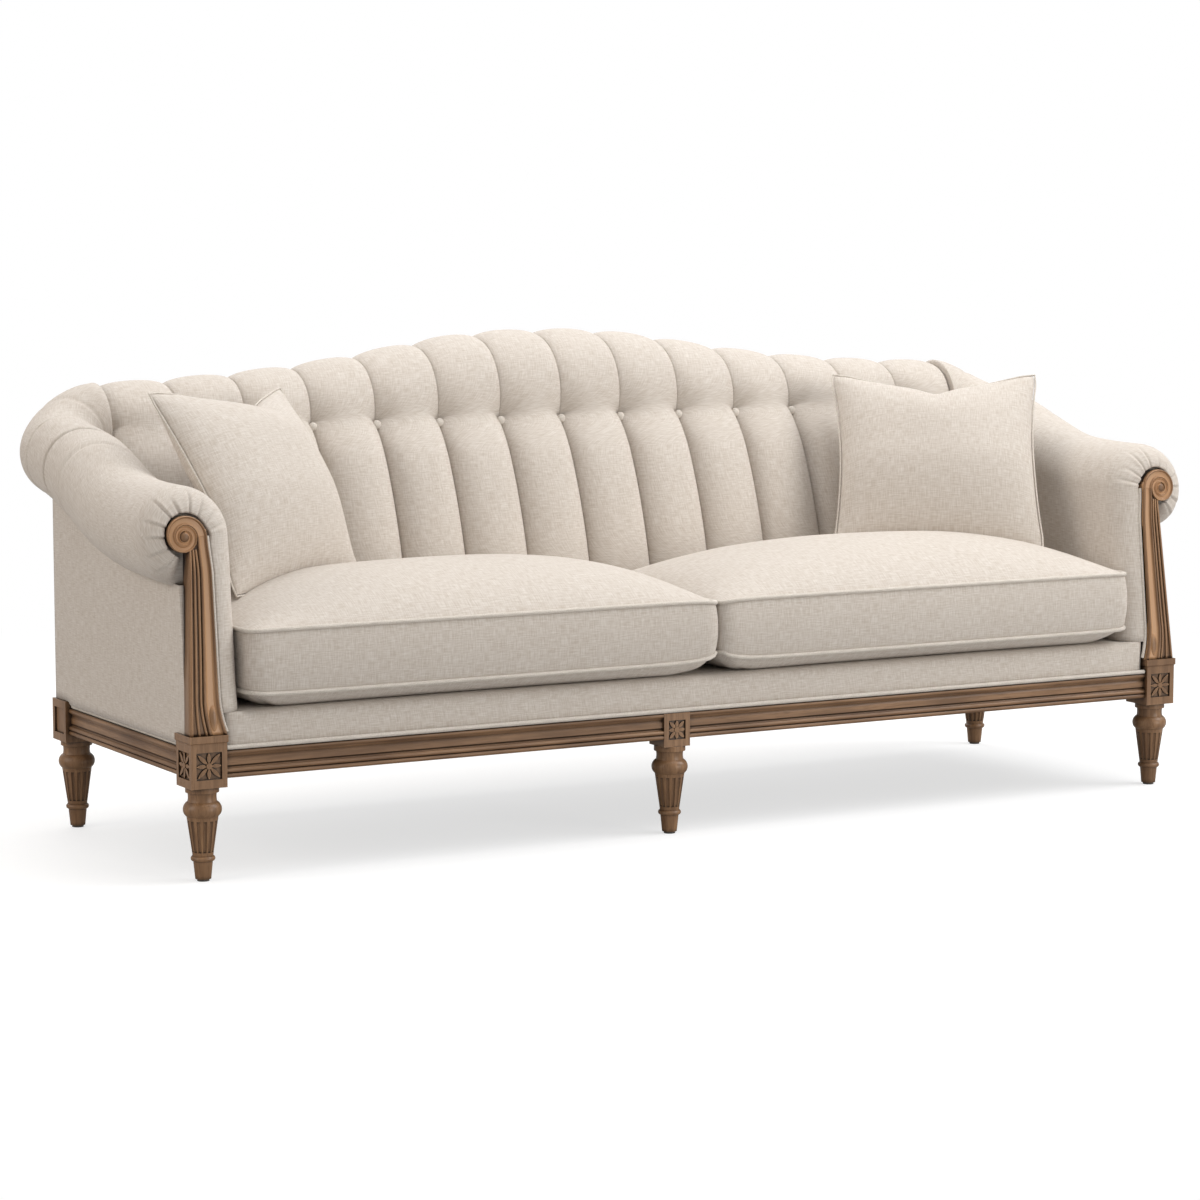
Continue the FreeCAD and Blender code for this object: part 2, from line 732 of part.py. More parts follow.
def arm_section(y):
    """Outline of the inside arm and its roll, at a distance behind the front legs."""
    axis_x, axis_z, radius = roll_at(y)
    back_x = arm_back_x - soft_gap
    plane_y = y0 + y

    def rim(degrees):
        a = math.radians(degrees)
        return V(axis_x + radius * math.cos(a), plane_y, axis_z + radius * math.sin(a))
    tuck = 270 - math.degrees(math.asin((axis_x - back_x) / radius))
    under = rim(tuck)
    inner_low = V(arm_inner_x, plane_y, soft_base)
    back_low = V(back_x, plane_y, soft_base)
    return Part.Wire([
        line(inner_low, rim(180)),
        arc(rim(180), rim(135), rim(90)),
        arc(rim(90), rim(45), rim(0)),
        arc(rim(0), rim((tuck - 360) / 2), under),
        line(under, back_low),
        line(back_low, inner_low),
    ])


def make_inside_arm():
    """Padded inside of the right arm, one piece with the roll over its top."""
    last = corner_start_y - y0 - soft_gap
    stations = [-block_width / 2] + [last * share for share in (0.2, 0.4, 0.55, 0.7, 0.85, 1.0)]
    arm = Part.makeLoft([arm_section(y) for y in stations], True, False)
    return arm.cut(behind_facing(soft_gap))


def ring(centre, normal, radius):
    """A closed round wire of three equal arcs."""
    side = V(0, 0, 1)
    across = normal.cross(side)
    points = []
    for index in range(6):
        a = index * math.pi / 3
        points.append(centre + across * (radius * math.cos(a)) + side * (radius * math.sin(a)))
    edges = [arc(points[i], points[i + 1], points[(i + 2) % 6]) for i in (0, 2, 4)]
    return Part.Wire(edges)


def crest(x):
    """Height of the camel-shaped crest."""
    fall = 1 - 1 / (1 + (abs(x) / crest_half_x) ** crest_power)
    return crest_height - crest_drop * fall


def back_roll_at(x):
    """Axis y (behind the front legs), axis z and radius of the back roll."""
    radius = (crest(x) - roll_bottom_z) / 2
    axis_z = crest(x) - radius
    reach = math.sqrt(radius ** 2 - (axis_z - button_z) ** 2)
    return button_y + reach, axis_z, radius


def make_corner_roll():
    """Roll that bends round the right rear corner, from the arm to the back."""
    arm_x, arm_z, arm_radius = roll_at(corner_start_y - y0)
    back_y, back_z, back_radius = back_roll_at(arm_inner_x)
    reach_x = arm_x - arm_inner_x
    reach_y = y0 + back_y - corner_start_y
    rings = []
    for share in (0, 0.25, 0.5, 0.75, 1.0):
        a = share * math.pi / 2
        ease = share * share * (3 - 2 * share)
        centre = V(
            arm_inner_x + reach_x * math.cos(a),
            corner_start_y + reach_y * math.sin(a),
            arm_z + (back_z - arm_z) * ease,
        )
        normal = V(-math.sin(a), math.cos(a), 0)
        rings.append(ring(centre, normal, arm_radius + (back_radius - arm_radius) * ease))
    return Part.makeLoft(rings, True, False)


both_sides("inside_arm", make_inside_arm())
both_sides("corner_roll", make_corner_roll())


# Channel back

def seam_y(z):
    """Depth of the channel seams behind the front legs, on the raked inside back."""
    return button_y - (button_z - z) * math.tan(math.radians(back_rake))


def channel_section(x, crown):
    """Outline of the back padding at one place along its length.

    A crown section is at the middle of a channel, and a plain one is at a seam.
    """
    axis_y, axis_z, radius = back_roll_at(x)
    core = radius - roll_pad_thickness
    if crown:
        bulge = channel_bulge
        tuck = tuck_depth
    else:
        radius -= channel_groove
        bulge = 2.0
        tuck = -channel_groove / 2
    base = soft_base
    waist = (base + button_z) / 2

    def at(y, z):
        return V(x, y0 + y, z)

    def rim(r, degrees):
        a = math.radians(degrees)
        return at(axis_y + r * math.cos(a), axis_z + r * math.sin(a))
    foot = at(seam_y(base), base)
    belly = at(seam_y(waist) - bulge, waist)
    button = at(button_y - tuck, button_z)
    end = at(outside_back_y - y0 + panel_thickness + soft_gap, outside_back_top + soft_gap)
    neck_z = button_z - back_pad_thickness
    neck = at(seam_y(neck_z) + back_pad_thickness, neck_z)
    back_foot = at(seam_y(base) + back_pad_thickness, base)
    core_end = rim(core, -110)
    core_front = rim(core, 200)
    edges = [
        arc(foot, belly, button),
        arc(button, rim(radius, 140), rim(radius, 90)),
        arc(rim(radius, 90), rim(radius, 45), rim(radius, 0)),
        arc(rim(radius, 0), rim(radius, -50), end),
        line(end, core_end),
        arc(core_end, rim(core, -30), rim(core, 45)),
        arc(rim(core, 45), rim(core, 120), core_front),
        line(core_front, neck),
        line(neck, back_foot),
        line(back_foot, foot),
    ]
    return Part.Wire(edges)


def make_channels():
    """Stuffed channels of the inside back, which run up and over the back roll."""
    channels = []
    for index in range(channel_count):
        left = -back_half_width + index * channel_pitch
        sections = [
            channel_section(left, False),
            channel_section(left + half_pitch, True),
            channel_section(left + channel_pitch, False),
        ]
        channels.append(Part.makeLoft(sections, True, False))
    return channels


def make_button(x, extra):
    """A domed button on a seam, or with extra size the pocket that it is pulled into."""
    rake = math.radians(back_rake)
    inward = V(0, math.cos(rake), -math.sin(rake))
    face = V(x, y0 + button_y - tuck_depth / 2, button_z)
    start = face - inward * extra
    return cylinder(button_diameter + 2 * extra, start, inward * (button_thickness + 2 * extra))


def make_back():
    """Channels with the buttons sunk into their seams."""
    channels = make_channels()
    buttons = []
    for index in range(1, channel_count):
        x = -back_half_width + index * channel_pitch
        buttons.append(make_button(x, 0))
        pocket = make_button(x, soft_gap)
        channels[index - 1] = channels[index - 1].cut(pocket)
        channels[index] = channels[index].cut(pocket)
    parts["back_channels"] = Part.makeCompound(channels)
    parts["back_buttons"] = Part.makeCompound(buttons)


make_back()


# Back frame

def make_crest_rail():
    """Camel-shaped rail inside the back roll."""
    rail_y = y0 + back_roll_at(back_half_width)[0] - crest_rail_thickness / 2
    count = 9
    curves = []
    for offset in (crest_rail_height / 2, -crest_rail_height / 2):
        points = []
        for index in range(count):
            x = -back_half_width + 2 * back_half_width * index / (count - 1)
            points.append(V(x, rail_y, back_roll_at(x)[1] + offset))
        curve = Part.BSplineCurve()
        curve.interpolate(points)
        curves.append(curve.toShape())
    top, low = curves
    ends = [line(top.Vertexes[i].Point, low.Vertexes[i].Point) for i in (0, -1)]
    edges = Part.__sortEdges__([top, low] + ends)
    return prism(edges, V(0, crest_rail_thickness, 0))


def make_former(x, crest_rail):
    """Plywood upright on the rear seat rail, with a round head that carries the roll."""
    axis_y, axis_z, radius = back_roll_at(x)
    head = radius - roll_pad_thickness - former_head_gap
    front = back_pad_thickness + strap_thickness + soft_gap
    rail_front = rail_rear_y - rail_thickness - seat_rail_thickness
    neck_z = button_z - back_pad_thickness
    left = x - former_thickness / 2

    def at(y, z):
        return V(left, y, z)
    outline = [
        at(rail_front, seat_rail_top + 2 * strap_thickness),
        at(outside_back_y, seat_rail_top + 2 * strap_thickness),
        at(outside_back_y, outside_back_top - soft_gap),
        at(y0 + axis_y, axis_z),
        at(y0 + seam_y(neck_z) + front, neck_z),
        at(y0 + seam_y(soft_base) + front, soft_base),
        at(rail_front, soft_base),
    ]
    upright = polygon_prism(outline, V(former_thickness, 0, 0))
    disc = cylinder(2 * head, V(left, y0 + axis_y, axis_z), V(former_thickness, 0, 0))
    return upright.fuse(disc).removeSplitter().cut(crest_rail)


def make_back_frame():
    """Crest rail, plywood formers and the straps across the formers."""
    crest_rail = make_crest_rail()
    parts["crest_rail"] = crest_rail
    parts["back_formers"] = Part.makeCompound([make_former(x, crest_rail) for x in former_x])
    half = max(former_x) + former_thickness / 2
    rake = math.radians(back_rake)
    along = V(0, math.sin(rake), math.cos(rake))
    normal = V(0, math.cos(rake), -math.sin(rake))
    low = V(-half, y0 + seam_y(soft_base) + back_pad_thickness + soft_gap / 2, soft_base)
    run = (button_z - 2 * strap_width - soft_base) / math.cos(rake)
    depth = strap_thickness * math.cos(rake)
    straps = []
    for index in range(back_strap_count):
        start = low + along * ((index + 0.5) * run / back_strap_count)
        corners = [start, start + along * strap_width]
        corners += [corners[1] + normal * depth, corners[0] + normal * depth]
        straps.append(polygon_prism(corners, V(2 * half, 0, 0)))
    parts["back_webbing"] = Part.makeCompound(straps)


make_back_frame()


# Seat support and trim

def make_seat_support():
    """Crossed straps, padded deck, front border and dust cover."""
    half = block_inner_x - 4 * soft_gap
    strap_y = (seat_rail_front_y, rail_rear_y - rail_thickness)
    straps = []
    pitch = 2 * half / seat_strap_count
    for index in range(seat_strap_count):
        x = -half + (index + 0.5) * pitch
        straps.append(box((x - strap_width / 2, x + strap_width / 2), strap_y,
                          (seat_rail_top, seat_rail_top + strap_thickness)))
    cross_z = (seat_rail_top + strap_thickness, seat_rail_top + 2 * strap_thickness)
    rail_back = seat_rail_front_y + seat_rail_thickness
    room = rail_rear_y - rail_thickness - seat_rail_thickness - rail_back
    cross_pitch = room / seat_cross_strap_count
    for index in range(seat_cross_strap_count):
        y = rail_back + (index + 0.5) * cross_pitch
        straps.append(box((-half, half), (y - strap_width / 2, y + strap_width / 2), cross_z))
    parts["seat_webbing"] = Part.makeCompound(straps)

    deck_low = deck_height - deck_thickness
    deck_rear = rail_rear_y - rail_thickness - seat_rail_thickness - soft_gap
    parts["seat_deck"] = box((-deck_half, deck_half), (seat_rail_front_y, deck_rear), (deck_low, deck_height))

    back = seat_rail_front_y - soft_gap
    face = back - border_thickness
    base = rail_top + soft_gap
    outline = [
        line(V(-deck_half, back, base), V(-deck_half, face, base)),
        line(V(-deck_half, face, base), V(-deck_half, face - 2, deck_height - border_thickness)),
        arc(
            V(-deck_half, face - 2, deck_height - border_thickness),
            V(-deck_half, face + border_thickness * 0.25, deck_height - border_thickness * 0.25),
            V(-deck_half, back, deck_height),
        ),
        line(V(-deck_half, back, deck_height), V(-deck_half, back, base)),
    ]
    parts["front_border"] = prism(outline, V(2 * deck_half, 0, 0))

    cover_y = (seat_rail_front_y, rail_rear_y - rail_thickness)
    cover_z = (rail_bottom - dust_cover_thickness, rail_bottom)
    cover_half = seat_rail_outer_x
    cover = box((-cover_half, cover_half), cover_y, cover_z)
    for name in ("front_left", "front_right", "rear_left", "rear_right", "front_centre"):
        x, y = leg_places[name]
        width = centre_block_width if name == "front_centre" else block_width
        rim = width / 2 + soft_gap
        cover = cover.cut(box((x - rim, x + rim), (y - rim, y + rim), (0, block_top)))
    parts["dust_cover"] = cover


def welt_strip(start, along, outward):
    """A half-round welt lying on top of a rail, from a start point at its outer edge."""
    up = V(0, 0, welt_width)
    inner = start - outward * welt_width
    bulge = start - outward * (welt_width * 0.15) + up * 0.8
    edges = [line(inner, start), arc(start, bulge, inner + up), line(inner + up, inner)]
    return prism(edges, along)


def make_rail_welt():
    """Light welt along the top of the show rails."""
    z = rail_top + soft_gap / 3
    front_y = seat_rail_front_y - border_thickness - 3 - 2 * soft_gap - welt_width
    outer_x = rail_outer_x - 2 * groove_depth
    front_z = V(0, 0, z)
    strips = []
    span = corner_x - block_width / 2 - cap_overhang - 2 * soft_gap
    front = V(-span, front_y, 0) + front_z
    strips.append(welt_strip(front, V(2 * span, 0, 0), V(0, -1, 0)))
    side_y = y0 + block_width / 2 + cap_overhang + soft_gap
    side = V(outer_x, side_y, 0) + front_z
    side_run = V(0, rear_leg_y - block_width / 2 - soft_gap - side_y, 0)
    right = welt_strip(side, side_run, V(1, 0, 0))
    strips += [right, mirrored(right)]
    rear = V(-span, rail_rear_y - 2 * groove_depth, 0) + front_z
    strips.append(welt_strip(rear, V(2 * span, 0, 0), V(0, 1, 0)))
    parts["rail_welt"] = Part.makeCompound(strips)


def make_outside_panels():
    """Flat outside arms and outside back."""
    inner_x = rail_outer_x
    panel = under_roll_prism((inner_x, inner_x + panel_thickness), 0, outside_back_y - y0, 3 * soft_gap, None)
    panel = panel.cut(behind_facing(soft_gap))
    panel = panel.cut(parts["corner_roll_right"].translated(V(0, 0, -soft_gap)))
    rim = block_width / 2 + cap_overhang + soft_gap
    for y, top in ((y0, block_top), (rear_leg_y, rear_block_top)):
        panel = panel.cut(box((0, 2 * corner_x), (y - rim, y + rim), (0, top + soft_gap)))
    both_sides("outside_arm", panel)
    corner_low = roll_underside(corner_start_y - y0) - 4 * soft_gap
    step_x = arm_inner_x - cushion_gap
    back_y = outside_back_y
    half = [
        (inner_x, panel_bottom),
        (inner_x, corner_low),
        (arm_inner_x, roll_bottom_z - 4 * soft_gap),
        (step_x, outside_back_top),
    ]
    points = [V(x, back_y, z) for x, z in half]
    points += [V(-x, back_y, z) for x, z in reversed(half)]
    back = polygon_prism(points, V(0, panel_thickness, 0))
    for x in (-corner_x, corner_x):
        corner = box((x - rim, x + rim), (rear_leg_y - rim, rear_leg_y + rim), (0, rear_block_top + soft_gap))
        back = back.cut(corner)
    parts["outside_back"] = back


make_seat_support()
make_rail_welt()
make_outside_panels()


# Loose cushions and pillows

def cushion_section(x, share):
    """Outline of a seat cushion across its depth, with a share of its full crown."""
    front = y0 + cushion_front_y
    back = y0 + seam_y(soft_base) - cushion_back_gap
    middle = (front + back) / 2
    belly = max(soft_base, cushion_welt_low - cushion_belly * (1 + share))
    top = cushion_welt_high + cushion_crown * share
    bulge = cushion_face_bulge * (0.2 + share)
    inset = cushion_face_bulge * (1 - share)
    waist = (cushion_welt_low + cushion_welt_high) / 2
    front_low = V(x, front + inset, cushion_welt_low)
    front_high = V(x, front + inset, cushion_welt_high)
    back_low = V(x, back - inset, cushion_welt_low)
    back_high = V(x, back - inset, cushion_welt_high)
    return Part.Wire([
        arc(front_low, V(x, front + inset - bulge, waist), front_high),
        arc(front_high, V(x, middle, top), back_high),
        line(back_high, back_low),
        arc(back_low, V(x, middle, belly), front_low),
    ])


def make_cushion():
    """Right seat cushion with a crowned top, and the foam core inside it."""
    inner = cushion_gap / 2
    outer = arm_inner_x - 3 * cushion_gap
    width = outer - inner
    crown = ((0, 0.06), (0.12, 0.55), (0.3, 0.92), (0.5, 1.0), (0.7, 0.92), (0.88, 0.55), (1, 0.06))
    sections = [cushion_section(inner + width * place, share) for place, share in crown]
    cushion = Part.makeLoft(sections, True, False)
    front = y0 + cushion_front_y + core_margin
    back = y0 + seam_y(soft_base) - cushion_back_gap - core_margin
    core_low = cushion_welt_low + (cushion_welt_high - cushion_welt_low - core_height) / 2
    x_range = (inner + core_margin, outer - core_margin)
    core = box(x_range, (front, back), (core_low, core_low + core_height))
    pocket = box(
        (x_range[0] - soft_gap, x_range[1] + soft_gap),
        (front - soft_gap, back + soft_gap),
        (core_low - soft_gap, core_low + core_height + soft_gap),
    )
    return cushion.cut(pocket), core


def lens(u, half_height, thickness):
    """Outline of a pillow across its height, at one place along its width."""
    top = V(u, 0, half_height)
    low = V(u, 0, -half_height)
    half = thickness / 2
    edge = pillow_edge / 2
    rim = V(0, edge, 0)
    return Part.Wire([
        arc(low - rim, V(u, -half, 0), top - rim),
        line(top - rim, top + rim),
        arc(top + rim, V(u, half, 0), low + rim),
        line(low + rim, low - rim),
    ])


def make_pillow_form(size, thickness):
    """A knife-edge pillow at the origin, facing -Y, with sides drawn in between pointed corners."""
    half = size / 2
    stations = ((-1, 0, 0.12), (-0.78, 0.55, 0.6), (-0.4, 0.9, 0.93), (0, 1, 1),
                (0.4, 0.9, 0.93), (0.78, 0.55, 0.6), (1, 0, 0.12))
    sections = [lens(half * place, half - pillow_draw * draw, thickness * fullness)
                for place, draw, fullness in stations]
    return Part.makeLoft(sections, True, False)


def make_pillow(x, y, turn, lean, seat):
    """A pillow leaning in a corner of the sofa, let down onto its seat, and the insert inside it."""
    inner_size = pillow_size - 2 * insert_margin
    inner_thickness = pillow_thickness - insert_margin
    cover = make_pillow_form(pillow_size, pillow_thickness)
    insert = make_pillow_form(inner_size, inner_thickness)
    pocket = make_pillow_form(inner_size + 2 * soft_gap, inner_thickness + 2 * soft_gap)
    cover = cover.cut(pocket)
    pieces = [cover, insert]
    drop_height = cushion_welt_high + cushion_crown + pillow_size
    for piece in pieces:
        piece.rotate(V(0, 0, 0), V(1, 0, 0), -lean)
        piece.rotate(V(0, 0, 0), V(0, 0, 1), turn)
        piece.translate(V(x, y, drop_height))
    gap = pieces[0].distToShape(seat)[0] - soft_gap
    while gap > soft_gap / 10:
        for piece in pieces:
            piece.translate(V(0, 0, -gap))
        gap = pieces[0].distToShape(seat)[0] - soft_gap
    while pieces[0].common(seat).Volume > 0:
        for piece in pieces:
            piece.translate(V(0, 0, soft_gap))
    return pieces


cushion, core = make_cushion()
both_sides("seat_cushion", cushion)
both_sides("seat_core", core)
right_pillow = make_pillow(
    arm_inner_x - pillow_right_inset, rear_leg_y - pillow_right_lead,
    pillow_right_turn, pillow_right_lean, cushion,
)
left_pillow = make_pillow(
    arm_inner_x - pillow_left_inset, rear_leg_y - pillow_left_lead,
    pillow_left_turn, pillow_left_lean, cushion,
)
parts["pillow_right"], parts["pillow_insert_right"] = right_pillow
parts["pillow_left"], parts["pillow_insert_left"] = [mirrored(piece) for piece in left_pillow]

os.makedirs("parts", exist_ok=True)
for name, shape in parts.items():
    shape.exportStep("parts/" + name + ".step")
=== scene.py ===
"""Dress the rolled-arm settee: linen upholstery, loose cushions, carved show wood and a plain studio.

Lengths are in metres in the frame of the CAD model: +X along the settee, the front toward -Y, +Z up.
"""
import logging
import math
from dataclasses import dataclass
from enum import Enum
from typing import Any, Optional, Sequence

import bmesh
import bpy
import numpy as np
from mathutils import Euler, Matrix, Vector


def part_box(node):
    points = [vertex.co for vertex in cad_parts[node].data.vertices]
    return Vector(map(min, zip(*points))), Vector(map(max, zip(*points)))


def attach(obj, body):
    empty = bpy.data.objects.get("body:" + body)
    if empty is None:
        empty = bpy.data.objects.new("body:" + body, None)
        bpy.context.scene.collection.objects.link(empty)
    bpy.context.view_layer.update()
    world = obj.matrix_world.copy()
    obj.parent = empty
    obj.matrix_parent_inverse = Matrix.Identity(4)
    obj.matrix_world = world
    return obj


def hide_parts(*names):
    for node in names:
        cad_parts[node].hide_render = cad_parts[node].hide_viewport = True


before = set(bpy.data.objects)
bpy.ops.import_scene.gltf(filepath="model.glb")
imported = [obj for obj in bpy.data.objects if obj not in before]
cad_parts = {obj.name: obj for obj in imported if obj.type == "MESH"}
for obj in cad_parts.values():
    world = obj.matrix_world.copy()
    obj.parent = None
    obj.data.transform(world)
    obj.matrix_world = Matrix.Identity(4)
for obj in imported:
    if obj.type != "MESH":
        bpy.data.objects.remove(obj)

LOG = logging.getLogger("settee")
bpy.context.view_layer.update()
WEAVE = "weave"
TINY = 1e-9
QUARTER = math.pi / 2.0
ROUND = 2.0 * math.pi
Array = np.ndarray
Triple = tuple[float, float, float]
Pairs = Sequence[tuple[float, float]]


class Side(Enum):
    """The two ends of the settee, as the sign of X."""
    LEFT = -1
    RIGHT = 1

    @property
    def word(self) -> str:
        """The side's name, as it ends the name of a piece."""
        return self.name.lower()


class Grain(Enum):
    """Direction of the wood's grain in a piece."""
    ALONG = 0
    DEEP = 1
    UPRIGHT = 2


class Body(Enum):
    """Bodies that the pieces ride on."""
    FRAME = "frame"
    CUSHION_LEFT = "cushion_left"
    CUSHION_RIGHT = "cushion_right"
    PILLOW_LEFT = "pillow_left"
    PILLOW_RIGHT = "pillow_right"


# Small helpers

def mix(low: Any, high: Any, share: Any) -> Any:
    """Blend two values or arrays by a share from 0 to 1."""
    return low + (high - low) * share


def smooth(share: Any) -> Any:
    """Ease a share from 0 to 1 with level ends."""
    share = np.clip(share, 0.0, 1.0)
    return share * share * (3.0 - 2.0 * share)


def rounded(share: Any) -> Any:
    """Ease a share from 0 to 1 as a quarter circle that starts steep."""
    share = np.clip(share, 0.0, 1.0)
    return np.sqrt(np.maximum(0.0, 1.0 - (1.0 - share) ** 2))


def bell(distance: Any, width: Any) -> Any:
    """A soft bump that is 1 at no distance and falls away over a width."""
    return np.exp(-((distance / width) ** 2))


def circle(count: int) -> Array:
    """Angles of a count of points, evenly round a circle."""
    return np.linspace(0.0, ROUND, count, endpoint=False)


def corners(grid: Array) -> Array:
    """The four corners of each cell in a grid of values."""
    return np.stack([grid[:-1, :-1], grid[:-1, 1:], grid[1:, 1:], grid[1:, :-1]], axis=-1)


@dataclass(frozen=True)
class Unevenness:
    """Smooth seeded waves in a stuffed surface."""
    height: float
    length: float
    seed: int
    count: int = 5

    def at(self, points: Array) -> Array:
        """Heights of the waves at points.

        Args:
            points: Points, with their coordinates on the last axis.

        Returns:
            One height for each point, up or down.
        """
        chance = np.random.default_rng(self.seed)
        total = np.zeros(points.shape[:-1])
        for _ in range(self.count):
            direction = chance.normal(size=3)
            direction /= np.linalg.norm(direction)
            pace = ROUND / (self.length * chance.uniform(0.7, 1.4))
            total += np.sin(points @ direction * pace + chance.uniform(0.0, ROUND))
        return self.height * total / self.count


class Pen:
    """Adds nodes to a node tree and links them."""

    def __init__(self, tree: bpy.types.NodeTree) -> None:
        """Keep the tree that is drawn in."""
        self.tree = tree

    def add(self, kind: str, links: Optional[dict] = None, **settings: Any) -> bpy.types.Node:
        """Add a node.

        Args:
            kind: The node's type name.
            links: Values or output sockets for its inputs, by name or number.
            settings: The node's own options.

        Returns:
            The new node.
        """
        node = self.tree.nodes.new(kind)
        for key, value in settings.items():
            setattr(node, key, value)
        self.wire(node, links or {})
        return node

    def wire(self, node: bpy.types.Node, links: dict) -> None:
        """Give a node's inputs their values, or the sockets that feed them.

        Args:
            node: The node.
            links: Values or output sockets, by the input's name or number.
        """
        for key, value in links.items():
            if isinstance(value, bpy.types.NodeSocket):
                self.tree.links.new(value, node.inputs[key])
            else:
                node.inputs[key].default_value = value

    def maths(self, operation: str, first: Any, second: Any = 0.0) -> bpy.types.NodeSocket:
        """Add a Math node and give its result."""
        return self.add("ShaderNodeMath", {0: first, 1: second}, operation=operation).outputs[0]

    def line(self, value: Any, slope: float, start: float) -> bpy.types.NodeSocket:
        """Give a value times a slope plus a start."""
        node = self.add("ShaderNodeMath", {0: value, 1: slope, 2: start}, operation="MULTIPLY_ADD")
        return node.outputs[0]

    def contrast(self, first: Any, second: Any, gain: float) -> bpy.types.NodeSocket:
        """Give the difference of two values times a gain, kept between 0 and 1."""
        result = self.maths("MULTIPLY", self.maths("SUBTRACT", first, second), gain)
        result.node.use_clamp = True
        return result

    def blend(self, share: Any, low: Any, high: Any) -> bpy.types.NodeSocket:
        """Add a colour Mix node and give its result."""
        node = self.add("ShaderNodeMix", {0: share, 6: low, 7: high}, data_type="RGBA")
        return node.outputs[2]

    def noise(self, vector: Any, scale: Sequence[float], detail: float = 2.0) -> bpy.types.NodeSocket:
        """Add a noise stretched by a scale along each axis and give its value."""
        placed = self.add("ShaderNodeMapping", {"Vector": vector, "Scale": tuple(scale)})
        node = self.add("ShaderNodeTexNoise", {"Vector": placed.outputs[0], "Scale": 1.0, "Detail": detail})
        return node.outputs[0]

    def bump(self, height: Any, strength: float, distance: float) -> bpy.types.NodeSocket:
        """Add a Bump node and give its normal."""
        node = self.add("ShaderNodeBump", {"Strength": strength, "Distance": distance, "Height": height})
        return node.outputs[0]


# Finishes

def new_material(name: str) -> tuple[bpy.types.Material, Pen, bpy.types.Node]:
    """A new material, the pen that draws in it and its shader."""
    material = bpy.data.materials.new(name)
    material.use_nodes = True
    return material, Pen(material.node_tree), material.node_tree.nodes["Principled BSDF"]


@dataclass(frozen=True)
class Linen:
    """Plain-woven slubby linen."""
    name: str
    light: Triple
    dark: Triple
    mapped: bool = True
    thread: float = 0.0013
    thread_height: float = 0.35
    slub_length: float = 0.022
    slub_width: float = 0.0019
    slub_contrast: float = 3.9
    patch_scale: float = 9.0
    patch_contrast: float = 0.2
    relief: float = 0.0012

    def material(self) -> bpy.types.Material:
        """The finish as a material, made once."""
        known = bpy.data.materials.get(self.name)
        if known:
            return known
        material, pen, shader = new_material(self.name)
        if self.mapped:
            place = pen.add("ShaderNodeUVMap", uv_map=WEAVE).outputs[0]
        else:
            place = pen.add("ShaderNodeTexCoord").outputs["Object"]
        long = 1.0 / self.slub_length
        fine = 1.0 / self.slub_width
        weft = pen.noise(place, (long, fine, fine))
        warp = pen.noise(place, (fine, long, fine))
        patch = pen.noise(place, (self.patch_scale,) * 3, 3.0)
        slub = pen.maths("MULTIPLY", pen.maths("ADD", weft, warp), 0.5)
        shade = pen.line(patch, self.patch_contrast, -self.patch_contrast / 2.0)
        spread = pen.maths("MULTIPLY", pen.maths("SUBTRACT", slub, 0.5), self.slub_contrast)
        share = pen.maths("ADD", pen.maths("ADD", spread, 0.5), shade)
        share.node.use_clamp = True
        colour = pen.blend(share, (*self.light, 1.0), (*self.dark, 1.0))
        pitch = math.pi / (10.0 * self.thread)
        across = pen.add("ShaderNodeTexWave", {"Vector": place, "Scale": pitch}, bands_direction="X")
        along = pen.add("ShaderNodeTexWave", {"Vector": place, "Scale": pitch}, bands_direction="Y")
        weave = pen.maths("MULTIPLY", across.outputs[1], along.outputs[1])
        height = pen.maths("ADD", pen.maths("MULTIPLY", weave, self.thread_height), slub)
        pen.wire(shader, {
            "Base Color": colour, "Normal": pen.bump(height, 0.35, self.relief), "Roughness": 0.92,
            "Specular IOR Level": 0.18, "Sheen Weight": 0.12, "Sheen Roughness": 0.6})
        return material


